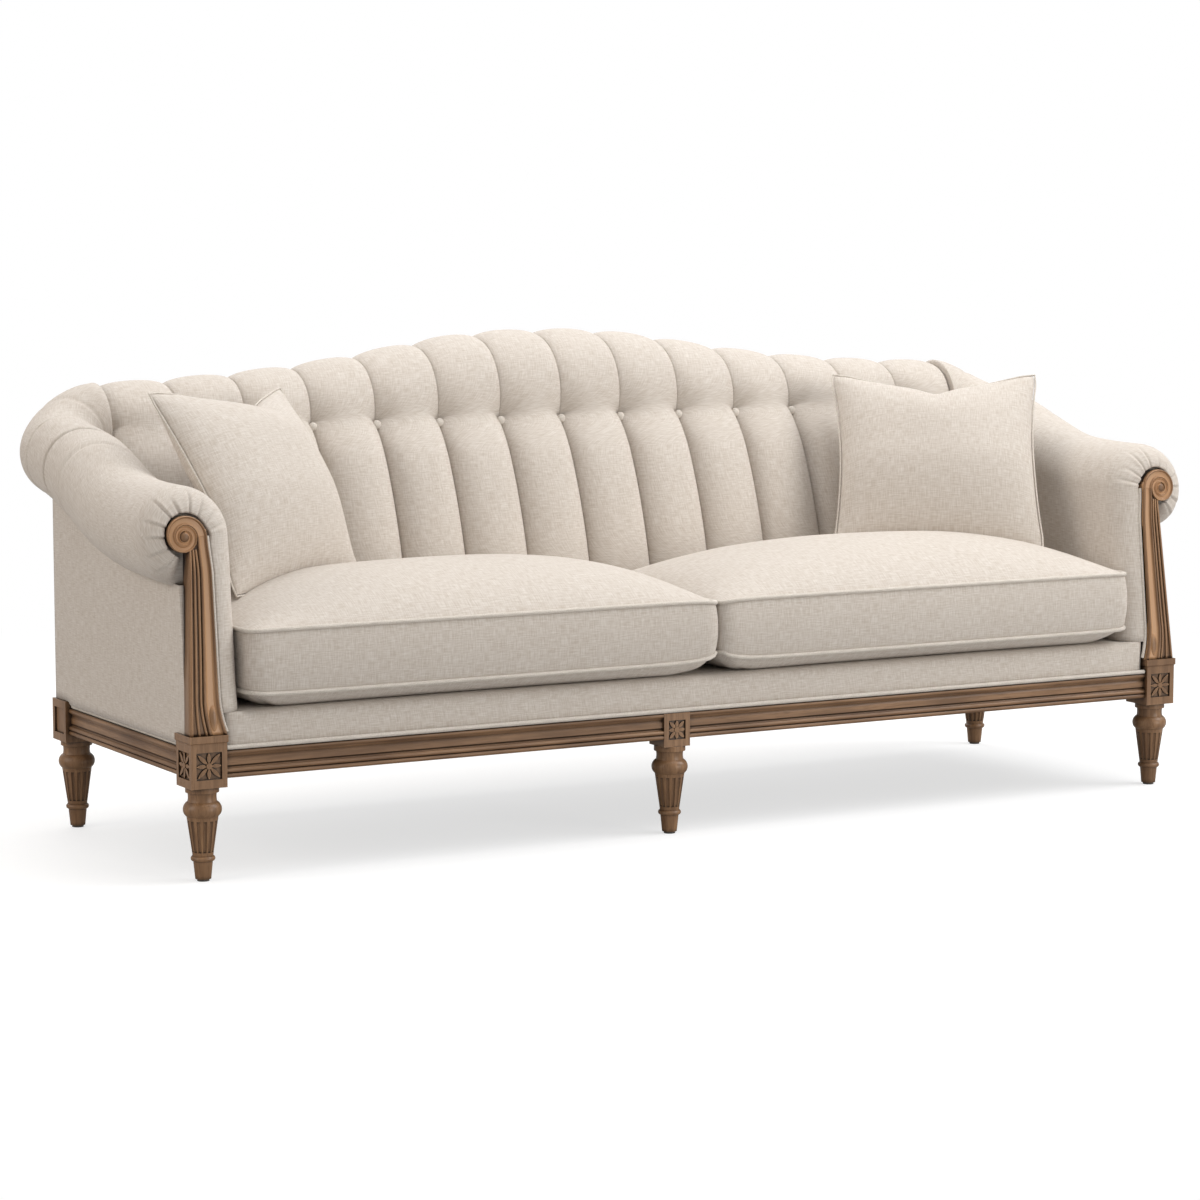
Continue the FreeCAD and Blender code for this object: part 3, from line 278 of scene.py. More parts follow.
@dataclass(frozen=True)
class Wood:
    """Stained wood, darkened in its hollows (partly glaze, partly painted shade) and lightened at its edges
    (partly wear, partly painted highlight).
    """
    name: str
    light: Triple
    dark: Triple
    glaze_and_shade: Triple
    roughness: float = 0.38
    hollow_reach: float = 0.015
    rim_reach: float = 0.004
    rim_gain: float = 1.45

    def material(self, grain: Grain) -> bpy.types.Material:
        """The finish for one direction of the grain, made once.

        Args:
            grain: The direction that the fibres run in.

        Returns:
            The material.
        """
        name = self.name + "_" + grain.name.lower()
        known = bpy.data.materials.get(name)
        if known:
            return known
        material, pen, shader = new_material(name)
        place = pen.add("ShaderNodeTexCoord").outputs["Object"]

        def along(long: float, fine: float) -> list:
            """Scales with the long one on the grain's axis."""
            return [long if axis == grain.value else fine for axis in range(3)]
        figure = pen.noise(place, along(6.0, 85.0), 4.0)
        pores = pen.noise(place, along(28.0, 420.0), 3.0)
        patch = pen.noise(place, along(5.0, 11.0), 2.0)
        share = pen.maths("ADD", pen.maths("MULTIPLY", figure, 0.75), pen.maths("MULTIPLY", patch, 0.55))
        colour = pen.blend(pen.contrast(share, 0.40, 2.5), (*self.light, 1.0), (*self.dark, 1.0))
        colour = pen.blend(pen.contrast(pores, 0.52, 4.0), colour, (*self.dark, 1.0))
        # Painted shade, partly glaze: the colour darkens toward the third colour where ambient occlusion
        # finds a hollow.
        hollow = pen.add("ShaderNodeAmbientOcclusion", {"Distance": self.hollow_reach}, samples=8)
        colour = pen.blend(pen.contrast(0.88, hollow.outputs["AO"], 2.5), colour, (*self.glaze_and_shade, 1.0))
        # Painted highlight, partly wear: edges found by inside ambient occlusion are lightened past the light
        # colour.
        rim = pen.add("ShaderNodeAmbientOcclusion", {"Distance": self.rim_reach}, samples=8, inside=True)
        wear_and_highlight = (*(self.rim_gain * part for part in self.light), 1.0)
        colour = pen.blend(pen.contrast(0.56, rim.outputs["AO"], 1.9), colour, wear_and_highlight)
        gloss = pen.line(patch, 0.22, self.roughness - 0.1)
        pen.wire(shader, {
            "Base Color": colour, "Roughness": gloss, "Normal": pen.bump(pores, 0.25, 0.0004),
            "Specular IOR Level": 0.42})
        return material


@dataclass(frozen=True)
class Plain:
    """A worked surface with a little unevenness, such as steel, webbing or dust cloth."""
    name: str
    light: Triple
    dark: Triple
    roughness: float
    metallic: float = 0.0
    scale: float = 600.0

    def material(self) -> bpy.types.Material:
        """The finish as a material, made once."""
        known = bpy.data.materials.get(self.name)
        if known:
            return known
        material, pen, shader = new_material(self.name)
        place = pen.add("ShaderNodeTexCoord").outputs["Object"]
        speck = pen.noise(place, (self.scale,) * 3, 3.0)
        pen.wire(shader, {
            "Base Color": pen.blend(speck, (*self.light, 1.0), (*self.dark, 1.0)),
            "Normal": pen.bump(speck, 0.3, 0.0005),
            "Roughness": self.roughness, "Metallic": self.metallic})
        return material


LINEN = Linen("oatmeal_linen", (0.645, 0.596, 0.543), (0.500, 0.435, 0.372))
WELT_LINEN = Linen("welt_linen", (0.68, 0.625, 0.56), (0.53, 0.48, 0.42), mapped=False)
# Each wood's third colour is the dark that its hollows are painted toward: partly glaze, partly painted
# shade.
SHOW_WOOD = Wood("carved_walnut", (0.335, 0.188, 0.094), (0.158, 0.082, 0.038), (0.034, 0.018, 0.009))
FRAME_WOOD = Wood("frame_beech", (0.62, 0.45, 0.29), (0.50, 0.34, 0.20), (0.30, 0.19, 0.11), 0.6)
WEBBING = Plain("jute_webbing", (0.42, 0.31, 0.19), (0.27, 0.19, 0.11), 0.9)
DUST_CLOTH = Plain("dust_cloth", (0.035, 0.034, 0.033), (0.015, 0.015, 0.015), 0.95)
STEEL = Plain("steel", (0.56, 0.56, 0.57), (0.40, 0.40, 0.41), 0.35, 1.0)
GLIDE = Plain("glide", (0.05, 0.045, 0.04), (0.02, 0.02, 0.02), 0.5)


# Meshes

def finished(obj: bpy.types.Object, body: Body, replaced: Sequence[str] = ()) -> bpy.types.Object:
    """Set a piece on its body and the CAD nodes that it stands for.

    Args:
        obj: The piece, in place in the settee's frame.
        body: The body that it rides on.
        replaced: Names of the CAD nodes that it replaces.

    Returns:
        The same piece.
    """
    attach(obj, body.value)
    if replaced:
        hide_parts(*replaced)
    LOG.info("%s: %d faces on %s", obj.name, len(obj.data.polygons), body.value)
    return obj


def new_object(name: str, mesh: bpy.types.Mesh, material: bpy.types.Material) -> bpy.types.Object:
    """Link a mesh to the scene as a smooth object of one material."""
    mesh.materials.clear()
    mesh.materials.append(material)
    mesh.shade_smooth()
    obj = bpy.data.objects.new(name, mesh)
    bpy.context.scene.collection.objects.link(obj)
    return obj


def face_out(mesh: bpy.types.Mesh) -> None:
    """Turn the faces of a closed mesh outward."""
    work = bmesh.new()
    work.from_mesh(mesh)
    bmesh.ops.recalc_face_normals(work, faces=work.faces)
    work.to_mesh(mesh)
    work.free()


def woven(name: str, points: Array, faces: list, uv: Any) -> bpy.types.Mesh:
    """A closed mesh with a weave map, its faces outward."""
    mesh = bpy.data.meshes.new(name)
    mesh.from_pydata(points.tolist(), [], faces)
    layer = mesh.uv_layers.new(name=WEAVE)
    layer.data.foreach_set("uv", np.array(uv, np.float32).ravel())
    face_out(mesh)
    return mesh


def rim_of(number: Array) -> Array:
    """Numbers round the edge of a grid of point numbers."""
    return np.concatenate([number[0, :-1], number[:-1, -1], number[-1, :0:-1], number[:0:-1, 0]])


def skin(name: str, points: Array) -> bpy.types.Mesh:
    """Make a closed mesh from rings of points, with a weave map in metres.

    Args:
        name: The mesh's name.
        points: Rings of points, all of the same count. A face closes the first and the last.

    Returns:
        The mesh, its faces outward.
    """
    rows, columns = points.shape[:2]
    turn = np.arange(columns + 1) % columns
    wide = points[:, turn]
    u = np.zeros(wide.shape[:2])
    v = np.zeros(wide.shape[:2])
    u[:, 1:] = np.cumsum(np.linalg.norm(np.diff(wide, axis=1), axis=2), axis=1)
    v[1:] = np.cumsum(np.linalg.norm(np.diff(wide, axis=0), axis=2), axis=0)
    number = np.arange(rows * columns).reshape(rows, columns)[:, turn]
    faces = corners(number).reshape(-1, 4).tolist()
    uv = np.stack([corners(u), corners(v)], axis=-1).reshape(-1, 2)
    for row in (0, rows - 1):
        faces.append(number[row, :columns].tolist())
        uv = np.vstack([uv, points[row][:, 1:]])
    return woven(name, points.reshape(-1, 3), faces, uv)


def linen_cover(name: str, points: Array) -> bpy.types.Object:
    """A cover in linen from rings of points."""
    return new_object(name, skin(name, points), LINEN.material())


def joined(name: str, meshes: Sequence[bpy.types.Mesh]) -> bpy.types.Mesh:
    """Several meshes as one."""
    work = bmesh.new()
    for mesh in meshes:
        work.from_mesh(mesh)
        bpy.data.meshes.remove(mesh)
    result = bpy.data.meshes.new(name)
    work.to_mesh(result)
    work.free()
    return result


def mirrored(points: Array, side: Side) -> Array:
    """Points of a right-hand piece, moved to a side."""
    return points * np.array([side.value, 1.0, 1.0])


def new_tree(name: str, inputs: dict) -> tuple[bpy.types.NodeTree, Pen, bpy.types.Node]:
    """Start a Geometry Nodes tree.

    Args:
        name: The tree's name.
        inputs: Socket types of its named inputs, beside the geometry.

    Returns:
        The tree, the pen that draws in it and its input node.
    """
    tree = bpy.data.node_groups.new(name, "GeometryNodeTree")
    for label, kind in {"Geometry": "NodeSocketGeometry", **inputs}.items():
        tree.interface.new_socket(label, in_out="INPUT", socket_type=kind)
    tree.interface.new_socket("Geometry", in_out="OUTPUT", socket_type="NodeSocketGeometry")
    pen = Pen(tree)
    return tree, pen, pen.add("NodeGroupInput")


def end_tree(pen: Pen, given: bpy.types.Node, shape: bpy.types.Node) -> None:
    """End a tree in Realize Instances and Set Material."""
    real = pen.add("GeometryNodeRealizeInstances", {0: shape.outputs[0]})
    dressed = pen.add("GeometryNodeSetMaterial", {
        "Geometry": real.outputs[0], "Material": given.outputs["Material"]})
    pen.add("NodeGroupOutput", {0: dressed.outputs[0]})


class CordTree:
    """A Geometry Nodes tree that lays a round cord along the edges of a mesh."""
    SIDES = 10
    _tree: Optional[bpy.types.NodeTree] = None

    @classmethod
    def tree(cls) -> bpy.types.NodeTree:
        """The tree, made once."""
        if cls._tree:
            return cls._tree
        tree, pen, given = new_tree("cord_along_edges", {
            "Radius": "NodeSocketFloat", "Sides": "NodeSocketInt", "Material": "NodeSocketMaterial"})
        path = pen.add("GeometryNodeMeshToCurve", {0: given.outputs["Geometry"]})
        ring = pen.add("GeometryNodeCurvePrimitiveCircle", {
            "Resolution": given.outputs["Sides"], "Radius": given.outputs["Radius"]})
        tube = pen.add("GeometryNodeCurveToMesh", {
            "Curve": path.outputs[0], "Profile Curve": ring.outputs[0], "Fill Caps": True})
        end_tree(pen, given, tube)
        cls._tree = tree
        return tree

    @classmethod
    def cords(cls, name: str, paths: Sequence[tuple[Array, bool]], radius: float) -> bpy.types.Object:
        """Lay cords covered in welt linen along paths.

        Args:
            name: The piece's name.
            paths: Pairs of points and whether the path is closed.
            radius: The cord's radius.

        Returns:
            The cords as one plain mesh object.
        """
        points: list = []
        edges: list = []
        for path, closed in paths:
            first = len(points)
            count = len(path)
            points += [tuple(point) for point in path]
            edges += [(first + i, first + i + 1) for i in range(count - 1)]
            if closed:
                edges.append((first + count - 1, first))
        mesh = bpy.data.meshes.new(name)
        mesh.from_pydata(points, edges, [])
        values = {"Radius": radius, "Sides": cls.SIDES, "Material": WELT_LINEN.material()}
        return run_tree(name, mesh, cls.tree(), values)


def run_tree(name: str, mesh: bpy.types.Mesh, tree: bpy.types.NodeTree, values: dict) -> bpy.types.Object:
    """Run a Geometry Nodes tree on a mesh and keep the result as a plain mesh.

    Args:
        name: The piece's name.
        mesh: The mesh that the tree starts from.
        tree: The tree.
        values: Values of its named inputs.

    Returns:
        A new object with the tree's result and no modifier.
    """
    source = bpy.data.objects.new(name + "_source", mesh)
    bpy.context.scene.collection.objects.link(source)
    modifier = source.modifiers.new("nodes", "NODES")
    modifier.node_group = tree
    for item in tree.interface.items_tree:
        if item.item_type == "SOCKET" and item.in_out == "INPUT" and item.name in values:
            modifier[item.identifier] = values[item.name]
    graph = bpy.context.evaluated_depsgraph_get()
    result = bpy.data.meshes.new_from_object(source.evaluated_get(graph))
    bpy.data.objects.remove(source)
    result.name = name
    face_out(result)
    return new_object(name, result, values["Material"])


def inflate(obj: bpy.types.Object, pressure: float, cap: float, held: Sequence[int], frames: int = 20,
            stiffness: float = 12.0) -> None:
    """Fill a sewn cover with the cloth solver and keep the result in its mesh.

    Args:
        obj: The cover, a closed mesh.
        pressure: Pressure of the filling.
        cap: The furthest that a point may move.
        held: Numbers of the points that the seams hold.
        frames: Steps of the solver.
        stiffness: Resistance of the cloth to stretching.
    """
    start = points_of(obj)
    cloth = obj.modifiers.new("cover", "CLOTH")
    cloth.settings.quality = 6
    cloth.settings.mass = 0.25
    cloth.settings.tension_stiffness = stiffness
    cloth.settings.compression_stiffness = stiffness
    cloth.settings.shear_stiffness = stiffness / 2.0
    cloth.settings.bending_stiffness = 0.4
    cloth.settings.use_pressure = True
    cloth.settings.uniform_pressure_force = pressure
    cloth.settings.effector_weights.gravity = 0.0
    cloth.collision_settings.use_collision = False
    cloth.point_cache.frame_start = 1
    cloth.point_cache.frame_end = frames
    group = obj.vertex_groups.new(name="seams")
    group.add([int(i) for i in held], 1.0, "REPLACE")
    cloth.settings.vertex_group_mass = group.name
    cloth.settings.pin_stiffness = 1.0
    for step in range(1, frames + 1):
        bpy.context.scene.frame_set(step)
    graph = bpy.context.evaluated_depsgraph_get()
    move = points_of(obj.evaluated_get(graph)) - start
    obj.modifiers.remove(cloth)
    obj.vertex_groups.clear()
    bpy.context.scene.frame_set(1)
    far = np.linalg.norm(move, axis=1, keepdims=True)
    set_points(obj, start + move * np.minimum(1.0, cap / np.maximum(far, TINY)))


def points_of(obj: bpy.types.Object) -> Array:
    """The points of an object's mesh."""
    found = np.zeros(len(obj.data.vertices) * 3)
    obj.data.vertices.foreach_get("co", found)
    return found.reshape(-1, 3)


def set_points(obj: bpy.types.Object, points: Array) -> None:
    """Move the points of an object's mesh."""
    obj.data.vertices.foreach_set("co", points.ravel())
    obj.data.update()


def subdivided(obj: bpy.types.Object) -> None:
    """Apply one level of subdivision to a piece."""
    modifier = obj.modifiers.new("smooth", "SUBSURF")
    modifier.levels = 1
    modifier.render_levels = 1
    modifier.uv_smooth = "NONE"
    graph = bpy.context.evaluated_depsgraph_get()
    mesh = bpy.data.meshes.new_from_object(obj.evaluated_get(graph))
    obj.modifiers.remove(modifier)
    old = obj.data
    obj.data = mesh
    bpy.data.meshes.remove(old)
    obj.data.shade_smooth()


# Shared places

@dataclass(frozen=True)
class Plan:
    """Lines that the pieces share, as the CAD model has them."""
    front_y: float = -0.4058
    corner_x: float = 1.060
    leg_depth: float = 0.620
    deck_z: float = 0.302
    base_z: float = 0.3023
    rail_top: float = 0.2365
    block_top: float = 0.265
    rear_block_top: float = 0.251
    rail_outer_x: float = 1.088
    rail_front: float = -0.028
    rail_rear: float = 0.648
    block_half: float = 0.0372
    gap: float = 0.0003
    block_gap: float = 0.0004
    facing_gap: float = 0.0006
    rail_gap: float = 0.0002
    arm_x: float = 0.982
    arm_back_x: float = 1.0437
    arm_height: float = 0.703
    arm_rise: float = 0.120
    arm_rise_y: float = 0.440
    arm_rise_power: float = 4.6
    roll_outer_x: float = 1.162
    roll_front: float = 0.090
    roll_rear: float = 0.078
    corner_y: float = 0.592
    facing_front: float = -0.0345
    facing_thickness: float = 0.030
    facing_rake: float = math.radians(6.4)
    scroll_x: float = 1.079
    scroll_z: float = 0.618
    scroll_radius: float = 0.038
    ankle_z: float = 0.335
    facing_foot: float = 0.037
    facing_stem: float = 0.024
    facing_neck: float = 0.019
    neck_length: float = 0.075
    facing_outer_foot: float = 0.034
    facing_outer_neck: float = 0.018
    back_half: float = 0.980
    back_rake: float = math.radians(18.7)
    button_y: float = 0.602
    button_z: float = 0.760
    crest_height: float = 0.940
    crest_drop: float = 0.098
    crest_half_x: float = 0.470
    crest_power: float = 2.6
    roll_bottom: float = 0.680
    outside_back_top: float = 0.692

    def ridge(self, y: float) -> float:
        """Height of the arm's ridge at a distance behind the front legs."""
        steep = (self.arm_rise_y / max(y, 0.001)) ** self.arm_rise_power
        return self.arm_height + self.arm_rise / (1.0 + steep)

    def roll_at(self, y: float) -> Triple:
        """Axis x, axis z and radius of the arm roll at a distance behind the front legs."""
        radius = mix(self.roll_front, self.roll_rear, y / self.corner_y)
        return self.roll_outer_x - radius, self.ridge(y) - radius, radius

    def crest(self, x: Array) -> Array:
        """Height of the camel-shaped crest."""
        fall = 1.0 - 1.0 / (1.0 + (np.abs(x) / self.crest_half_x) ** self.crest_power)
        return self.crest_height - self.crest_drop * fall

    def back_roll_at(self, x: Array) -> tuple[Array, Array, Array]:
        """Axis y (behind the front legs), axis z and radius of the back roll."""
        radius = (self.crest(x) - self.roll_bottom) / 2.0
        axis_z = self.crest(x) - radius
        return self.button_y + np.sqrt(radius ** 2 - (axis_z - self.button_z) ** 2), axis_z, radius

    def seam_y(self, z: Array) -> Array:
        """Seam line of the inside back, behind the front legs."""
        return self.button_y - (self.button_z - z) * math.tan(self.back_rake)

    def facing_back_y(self, z: Array) -> Array:
        """Back plane of the raked arm facings, behind the front legs."""
        return self.facing_front + self.facing_depth() + (z - self.block_top) * math.tan(self.facing_rake)

    def facing_inner_x(self, z: Array) -> Array:
        """Inner edge of the right facing, from its spread foot up to the scroll."""
        low = np.clip((z - self.block_top) / (self.ankle_z - self.block_top), 0.0, 1.0)
        width = mix(self.facing_foot, self.facing_stem, 1.0 - (1.0 - low) ** 2)
        narrowing = smooth((z - self.scroll_z + self.neck_length) / self.neck_length)
        return self.corner_x - mix(width, self.facing_neck, narrowing)

    def facing_outer_x(self, z: Array) -> Array:
        """Outer edge of the right facing's stem, which tapers toward the scroll."""
        share = (z - self.block_top) / (self.scroll_z - self.scroll_radius - self.block_top)
        return self.corner_x + mix(self.facing_outer_foot, self.facing_outer_neck, np.clip(share, 0.0, 1.0))

    def facing_depth(self) -> float:
        """Thickness of the raked facings, measured along Y."""
        return self.facing_thickness / math.cos(self.facing_rake)


# Upholstery

@dataclass
class ChannelBack:
    """Stuffed channels of the inside back, which run over the back roll, and their buttons."""
    plan: Plan
    channels: int = 14
    columns: int = 22
    section_power: float = 2.3
    section_round: float = 0.56
    bulge: float = 0.035
    plump_knots: int = 29
    plump_spread: float = 0.06
    seed: int = 7
    groove: float = 0.015
    seam_sink: float = 0.006
    pit: float = 0.015
    tuck_stand: float = 0.021
    tuck_rise: float = 0.018
    tuck_soft: int = 24
    tuck_reach: int = 20
    tuck_power: int = 7
    seam_ease: Sequence[float] = (0.050, 0.042)
    middle_ease: Sequence[float] = (0.085, 0.120)
    lumbar: float = 0.030
    lower_rows: int = 50
    upper_rows: int = 92
    pad: float = 0.028
    pad_levels: Sequence[float] = (0.6, 0.45)
    rear_lap: float = 0.0043
    rear_groove: float = 0.002
    button_radius: float = 0.0092
    button_thickness: float = 0.62
    button_sink: float = 0.001

    def build(self) -> None:
        """Make the channels and the buttons."""
        cover = linen_cover("channel_back", self.points())
        finished(cover, Body.FRAME, ["back_channels"])
        self.build_buttons()

    def points(self) -> Array:
        """Closed outlines of the padding at stations along its length."""
        plan = self.plan
        steps = (1.0 - np.cos(np.linspace(0.0, math.pi, self.columns + 1))) / 2.0
        places = [index + step for index in range(self.channels) for step in steps[:-1]]
        places = np.array(places + [float(self.channels)])
        x = plan.back_half * (2.0 * places / self.channels - 1.0)
        across = 2.0 * (places - np.minimum(np.floor(places), self.channels - 1)) - 1.0
        full = (1.0 - np.abs(across) ** self.section_power) ** self.section_round
        chance = np.random.default_rng(self.seed)
        knots = plan.back_half * np.linspace(-1, 1, self.plump_knots)
        uneven = chance.uniform(-self.plump_spread, self.plump_spread, self.plump_knots)
        plump = np.interp(x, knots, 1.0 + uneven)
        x, full, plump = x[:, None], full[:, None], plump[:, None]
        pull = mix(self.pit, -self.tuck_stand, full ** 1.7)

        share = np.linspace(0.0, 1.0, self.lower_rows)[None, :]
        tuck_z = plan.button_z + self.tuck_rise * full
        z = plan.base_z + (tuck_z - plan.base_z) * (1.0 - (1.0 - share) ** 1.6)
        fall = (tuck_z - z) / (tuck_z - plan.base_z)
        middle = (plan.base_z + plan.button_z) / 2.0
        foot = np.clip((middle - z) / (middle - plan.base_z), 0.0, 1.0)
        rise = tuck_z - z
        ease = mix(rounded(rise / self.seam_ease[0]), smooth(rise / self.middle_ease[0]), full)
        out = (self.bulge * plump * full - self.seam_sink * (1.0 - full)) * (1.0 - foot ** 2)
        out = mix(-pull, out, ease) + self.lumbar * np.sin(math.pi * fall) ** 0.8 * (1.0 - fall) ** 0.35
        lower_y = plan.seam_y(z) - out * mix(1.0, math.cos(plan.back_rake), ease)
        lower_z = z + out * math.sin(plan.back_rake) * ease

        axis_y, axis_z, radius = plan.back_roll_at(x)
        end_y = plan.rail_rear + self.rear_lap - axis_y
        end_z = plan.outside_back_top - axis_z
        start = math.pi - np.arcsin((tuck_z - axis_z) / radius)
        last = np.arctan2(end_z, end_y) % ROUND - ROUND
        share = np.linspace(0.0, 1.0, self.upper_rows)[None, :]
        angle = mix(start, last, share ** 1.15)
        walk = radius * (start - angle)
        ease = mix(rounded(walk / self.seam_ease[1]), smooth(walk / self.middle_ease[1]), full)
        rim = radius - self.groove * (1.0 - full)
        near_end = smooth((share - 0.8) / 0.2)
        rim = mix(rim, np.hypot(end_y, end_z) - self.rear_groove * (1.0 - full), near_end)
        ring_y = axis_y + rim * np.cos(angle)
        upper_z = axis_z + rim * np.sin(angle)
        upper_z += (tuck_z - upper_z[:, :1]) * (1.0 - ease)
        upper_y = mix(lower_y[:, -1:] + ring_y - ring_y[:, :1], ring_y, ease)

        levels = np.array([plan.button_z - self.pad, *self.pad_levels, plan.base_z])
        back_y = np.ones_like(x) * (plan.seam_y(levels) + self.pad)
        back_z = np.ones_like(x) * levels
        front_y = np.hstack([lower_y, upper_y[:, 1:]])
        front_z = np.hstack([lower_z, upper_z[:, 1:]])
        rows = np.arange(front_y.shape[1])[None, :]
        away = np.abs(rows - self.lower_rows + 1) / self.tuck_reach
        near = 0.9 * full ** self.tuck_power * smooth(1.5 - away)
        for line in (front_y, front_z):
            for _ in range(self.tuck_soft):
                line[:, 1:-1] += near[:, 1:-1] * ((line[:, :-2] + line[:, 2:]) / 2.0 - line[:, 1:-1])
        y = np.hstack([front_y, back_y]) + plan.front_y
        z = np.hstack([front_z, back_z])
        return np.stack([np.broadcast_to(x, y.shape), y, z], axis=-1)

    def build_buttons(self) -> None:
        """Set a covered button on each seam between two channels."""
        plan = self.plan
        pitch = 2.0 * plan.back_half / self.channels
        y = plan.front_y + plan.button_y + self.button_sink
        spots = [(index * pitch - plan.back_half, y, plan.button_z) for index in range(1, self.channels)]
        mesh = bpy.data.meshes.new("button_spots")
        mesh.from_pydata(spots, [], [])
        values = {"Radius": self.button_radius, "Thickness": self.button_thickness,
                  "Tilt": QUARTER - plan.back_rake / 2.0, "Material": WELT_LINEN.material()}
        buttons = run_tree("back_button_row", mesh, self.button_tree(), values)
        finished(buttons, Body.FRAME, ["back_buttons"])

    def button_tree(self) -> bpy.types.NodeTree:
        """A Geometry Nodes tree that sets a domed button on each point."""
        tree, pen, given = new_tree("covered_buttons", {
            "Radius": "NodeSocketFloat", "Thickness": "NodeSocketFloat", "Tilt": "NodeSocketFloat",
            "Material": "NodeSocketMaterial"})
        dome = pen.add("GeometryNodeMeshUVSphere", {
            "Segments": 24, "Rings": 12, "Radius": given.outputs["Radius"]})
        flat = pen.add("ShaderNodeCombineXYZ", {0: 1.0, 1: 1.0, 2: given.outputs["Thickness"]})
        flat_dome = pen.add("GeometryNodeTransform", {"Geometry": dome.outputs[0], "Scale": flat.outputs[0]})
        turn = pen.add("ShaderNodeCombineXYZ", {0: given.outputs["Tilt"], 1: 0.0, 2: 0.0})
        placed = pen.add("GeometryNodeInstanceOnPoints", {
            "Points": given.outputs["Geometry"], "Instance": flat_dome.outputs[0],
            "Rotation": turn.outputs[0]})
        end_tree(pen, given, placed)
        return tree


@dataclass
class RolledArm:
    """Padded inside arm with its roll, gathered round the scroll at the front, and the rear corner roll."""
    plan: Plan
    side: Side
    front_section: float = 0.045
    edge: float = 0.030
    edge_rows: int = 22
    tucks: Pairs = ((0.0, 1.0), (0.0004, 0.5), (0.0008, 0.0), (0.014, 0.0))
    puff: float = 0.021
    stations: int = 56
    rim_points: int = 200
    inner_points: int = 25
    back_points: int = 11
    held_angle: float = -112.0
    puff_angle: float = -78.0
    welt_angle: float = 140.0
    rear_blend: Sequence[float] = (0.82, 0.17)
    off_roll: float = 400.0
    rear_round: float = 0.007
    welt_room: float = 0.0076
    scroll_room: float = 0.0022
    pleats: Sequence[float] = (206.0, 186.0, 163.0, 141.0, 116.0, 95.0, 71.0, 49.0, 24.0, 2.0, -24.0, -49.0)
    pleat_depth: float = 0.0040
    pleat_seed: int = 5
    waves: Unevenness = Unevenness(0.0012, 0.16, 11)
    seams: Sequence[Triple] = ((0.835, 0.0075, 0.0055), (0.69, 0.0032, 0.012))
    gusset_place: Sequence[float] = (0.008, 0.014)
    gusset_low: float = 0.640
    gusset_rise: float = 0.018
    gusset_rings: Pairs = ((0.030, 0.020), (0.026, 0.009), (0.017, 0.002), (0.006, 0.0))
    corner_round: float = 0.008
    corner_middle: Sequence[float] = (0.16, 0.84)
    crease: Sequence[float] = (0.52, 0.0025, 0.03)
    corner_waves: Unevenness = Unevenness(0.001, 0.15, 23)

    def build(self) -> None:
        """Make the arm and the corner."""
        word = self.side.word
        arm = linen_cover("arm_pad_" + word, mirrored(self.arm_points(), self.side))
        finished(arm, Body.FRAME, ["inside_arm_" + word])
        name = "corner_pad_" + word
        meshes = [skin(name, mirrored(points, self.side)) for points in (self.corner_points(), self.gusset())]
        corner = new_object(name, joined(name, meshes), LINEN.material())
        finished(corner, Body.FRAME, ["corner_roll_" + word])

    def outline(self, y: float) -> tuple[Array, Array, Array]:
        """Outline of the arm at a distance behind the front legs.

        Args:
            y: Distance behind the front leg axis.

        Returns:
            Points (x, z), the angle round the roll of each, and how free each is to round off.
        """
        plan = self.plan
        axis_x, axis_z, radius = plan.roll_at(y)
        tuck = 270.0 - math.degrees(math.asin((axis_x - plan.arm_back_x) / radius))
        turn = np.radians(np.linspace(180.0, tuck - 360.0, self.rim_points))
        blend_start, blend_length = self.rear_blend
        inward = mix(axis_x - plan.arm_x, radius, smooth((y / plan.corner_y - blend_start) / blend_length))
        across = np.where(np.cos(turn) < 0.0, inward, radius)
        rim = np.stack([axis_x + across * np.cos(turn), axis_z + radius * np.sin(turn)], axis=1)
        rise = np.linspace(0.0, 1.0, self.inner_points + 1)[:-1]
        inner = np.stack([np.full(len(rise), plan.arm_x), mix(plan.base_z, rim[0, 1], rise)], axis=1)
        fall = np.linspace(0.0, 1.0, self.back_points + 1)[1:]
        back = np.stack([np.full(len(fall), plan.arm_back_x), mix(rim[-1, 1], plan.base_z, fall)], axis=1)
        points = np.vstack([inner, rim, back])
        degrees = np.degrees(turn)
        off = self.off_roll
        angle = np.concatenate([np.full(len(rise), off), degrees, np.full(len(fall), off)])
        loose = smooth((degrees - self.held_angle) / 30.0)
        free = np.concatenate([np.ones(len(rise)), loose, np.zeros(len(fall))])
        return points, angle, free

    def arm_points(self) -> Array:
        """Closed outlines of the right arm from its gathered front to the corner."""
        rows = [self.front_row(QUARTER, tuck) for tuck in (3, 2, 1)]
        rows += [self.front_row(turn, 0) for turn in np.linspace(QUARTER, 0.0, self.edge_rows)]
        places = list(np.linspace(0.0, 1.0, self.stations))
        for place, _, width in self.seams:
            places += list(np.linspace(place - 2.2 * width, place + 2.2 * width, 15))
        for share in sorted(places)[1:]:
            rows.append(self.arm_row(share, 0.0, None))
        for angle in np.linspace(0.0, QUARTER, 6)[1:]:
            inset = self.rear_round * (1.0 - math.cos(angle))
            rows.append(self.arm_row(1.0, inset, self.rear_round * math.sin(angle)))
        points = np.array(rows)
        points[:, :, 1] = np.minimum(points[:, :, 1], self.rear_y() + self.plan.front_y)
        return points

    def rear_y(self) -> float:
        """Rear plane of the arm, just in front of the corner roll."""
        return self.plan.corner_y - self.plan.gap

